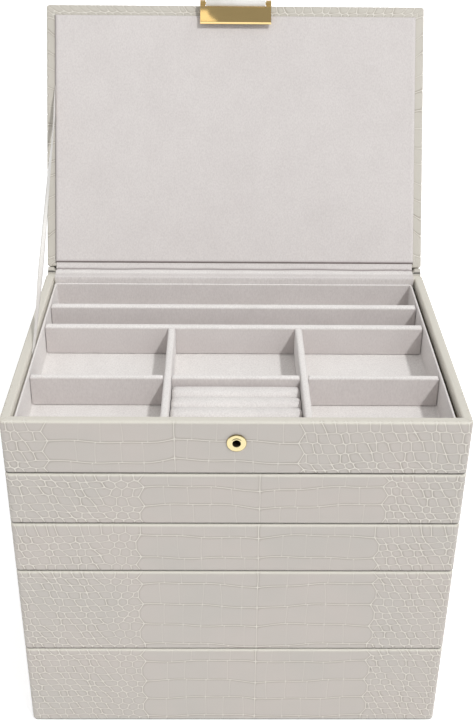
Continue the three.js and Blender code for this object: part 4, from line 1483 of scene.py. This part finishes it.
def addCamera():
    data = bpy.data.cameras.new("camera")
    data.sensor_width = 36
    data.lens = shot["focal"] * data.sensor_width / shot["tall"]
    data.clip_end = 20
    yaw, pitch, roll = (math.radians(shot[key]) for key in ("yaw", "pitch", "roll"))
    ahead = Vector((math.sin(yaw) * math.cos(pitch), math.cos(yaw) * math.cos(pitch), -math.sin(pitch)))
    right = Vector((math.cos(yaw), -math.sin(yaw), 0))
    up = right.cross(ahead)
    tilted = right * math.cos(roll) + up * math.sin(roll)
    upright = up * math.cos(roll) - right * math.sin(roll)
    camera = bpy.data.objects.new("camera", data)
    bpy.context.collection.objects.link(camera)
    turn = Matrix((tilted, upright, -ahead)).transposed().to_4x4()
    camera.matrix_world = Matrix.Translation(Vector(shot["place"]) * mm) @ turn
    bpy.context.scene.camera = camera


light = {
    "sunStrength": 1.5, "sunSpread": 4.0,
    "world": 0.62, "worldLean": 0.14, "floor": tint(238, 238, 238), "floorGlow": 0.6, "floorHalf": 6000,
    "darkTowards": (0, -0.87, 0.5), "darkFrom": 0.80, "darkBlend": 0.12, "dark": 0.35,
}


def addLight():
    sun = bpy.data.lights.new("key", "SUN")
    sun.energy = light["sunStrength"]
    sun.angle = math.radians(light["sunSpread"])
    lamp = bpy.data.objects.new("key", sun)
    lamp.rotation_mode = "QUATERNION"
    lamp.rotation_quaternion = sunFrom.to_track_quat("Z", "Y")
    bpy.context.collection.objects.link(lamp)
    world = bpy.data.worlds.new("studio")
    world.use_nodes = True
    tree = world.node_tree
    tree.nodes.clear()
    paths = addNode(tree, "LightPath").outputs
    way = addNode(tree, "TexCoord").outputs["Generated"]
    towards = addNode(tree, "VectorMath", {0: way, 1: light["darkTowards"]}, operation="DOT_PRODUCT")
    toDark, darkFrom = towards.outputs["Value"], light["darkFrom"]
    mirrored = spanned(tree, toDark, darkFrom, darkFrom + light["darkBlend"], light["world"], light["dark"])
    across = addNode(tree, "SeparateXYZ", {0: way}).outputs[0]
    lean = light["world"] * light["worldLean"]  # a little more light comes from the right
    soft = spanned(tree, across, -1, 1, light["world"] - lean, light["world"] + lean)
    plain = addNode(tree, "Mix", {0: paths["Is Glossy Ray"], 2: soft, 3: mirrored}).outputs[0]
    strength = addNode(tree, "Mix", {0: paths["Is Camera Ray"], 2: plain, 3: 1}).outputs[0]
    sky = addNode(tree, "Background", {"Color": (1, 1, 1, 1), "Strength": strength})
    out = addNode(tree, "OutputWorld")
    tree.links.new(sky.outputs[0], out.inputs[0])
    bpy.context.scene.world = world


# Glowing cards that only show in reflections on the gold, painting the plate's pale highlight and the ears'
# dim reflection: each outline is chosen on the plate, from its lower left corner
paleReflectionCard = {
    "outline": [
        (-1, 0.2), (-1, 7.6), (4.6, 7.6), (4.9, 6.6), (5.5, 5), (6.8, 3.4), (8.6, 2), (10.6, 1.2), (11, 0.2),
    ],
    "away": 150, "colour": tint(255, 246, 232), "strength": 1.35,
}
earReflectionCard = {
    "outline": [(-4, 8), (51, 8), (51, 50), (-4, 50)],
    "away": 260, "colour": tint(255, 244, 226), "strength": 0.42,
}


def addCard(name, card, facing, upward, face, left, foot):
    eye = Vector(shot["place"])
    mirrored = eye - facing * 2 * (eye.dot(facing) - face)
    points = []
    for x, up in card["outline"]:
        spot = Vector((left + x, 0, 0)) + upward * (foot + up) + facing * face
        points.append(spot + (spot - mirrored).normalized() * card["away"])
    material = bpy.data.materials.new(name)
    material.use_nodes = True
    tree = material.node_tree
    tree.nodes.clear()
    glow = addNode(tree, "Emission", {"Color": card["colour"], "Strength": card["strength"]})
    out = addNode(tree, "OutputMaterial")
    tree.links.new(glow.outputs[0], out.inputs[0])
    piece = meshPiece(name, points, [list(range(len(points)))], material, False)
    piece.visible_camera = piece.visible_diffuse = piece.visible_shadow = piece.visible_transmission = False


def addCards():
    mesh = frame["nodes"]["clasp_plate"].data
    spots = [vert.co / mm for vert in mesh.vertices]
    left = min(spot.x for spot in spots)
    facing = openLid.to_3x3() @ Vector((0, 0, -1))
    upward = facing.cross(Vector((1, 0, 0)))
    fronts = [part for part in mesh.polygons if part.normal.dot(facing) > 0.99]
    plate = max(fronts, key=lambda part: part.area)
    face = plate.center.dot(facing) / mm
    foot = min(spot.dot(upward) for spot in spots if abs(spot.dot(facing) - face) < 0.1)
    addCard("pale_reflection_card", paleReflectionCard, facing, upward, face, left, foot)
    ears = [part.center / mm for part in mesh.polygons if part.normal.y < -0.99]
    front = -min(spot.y for spot in ears)
    height = sum(spot.z for spot in ears) / len(ears)
    addCard("ear_reflection_card", earReflectionCard, Vector((0, -1, 0)), Vector((0, 0, 1)), front, left, height)


def addFloor():
    half = light["floorHalf"]
    corners = [(-half, -half, 0), (half, -half, 0), (half, half, 0), (-half, half, 0)]
    material = bpy.data.materials.new("floor")
    material.use_nodes = True
    tree = material.node_tree
    tree.nodes.clear()
    matte = addNode(tree, "BsdfDiffuse", {"Color": light["floor"]})
    paths = addNode(tree, "LightPath")
    seen = addNode(tree, "Math", {0: paths.outputs["Is Camera Ray"], 1: paths.outputs["Is Glossy Ray"]},
                   operation="MAXIMUM").outputs[0]
    glow = addNode(tree, "Emission", {"Strength": spanned(tree, seen, 0, 1, 0, light["floorGlow"])})
    both = addNode(tree, "AddShader", {0: matte.outputs[0], 1: glow.outputs[0]})
    out = addNode(tree, "OutputMaterial")
    tree.links.new(both.outputs[0], out.inputs[0])
    meshPiece("floor", corners, [(0, 1, 2, 3)], material, False)


addCamera()
addLight()
addCards()
addFloor()
bpy.context.scene.view_settings.view_transform = "Standard"
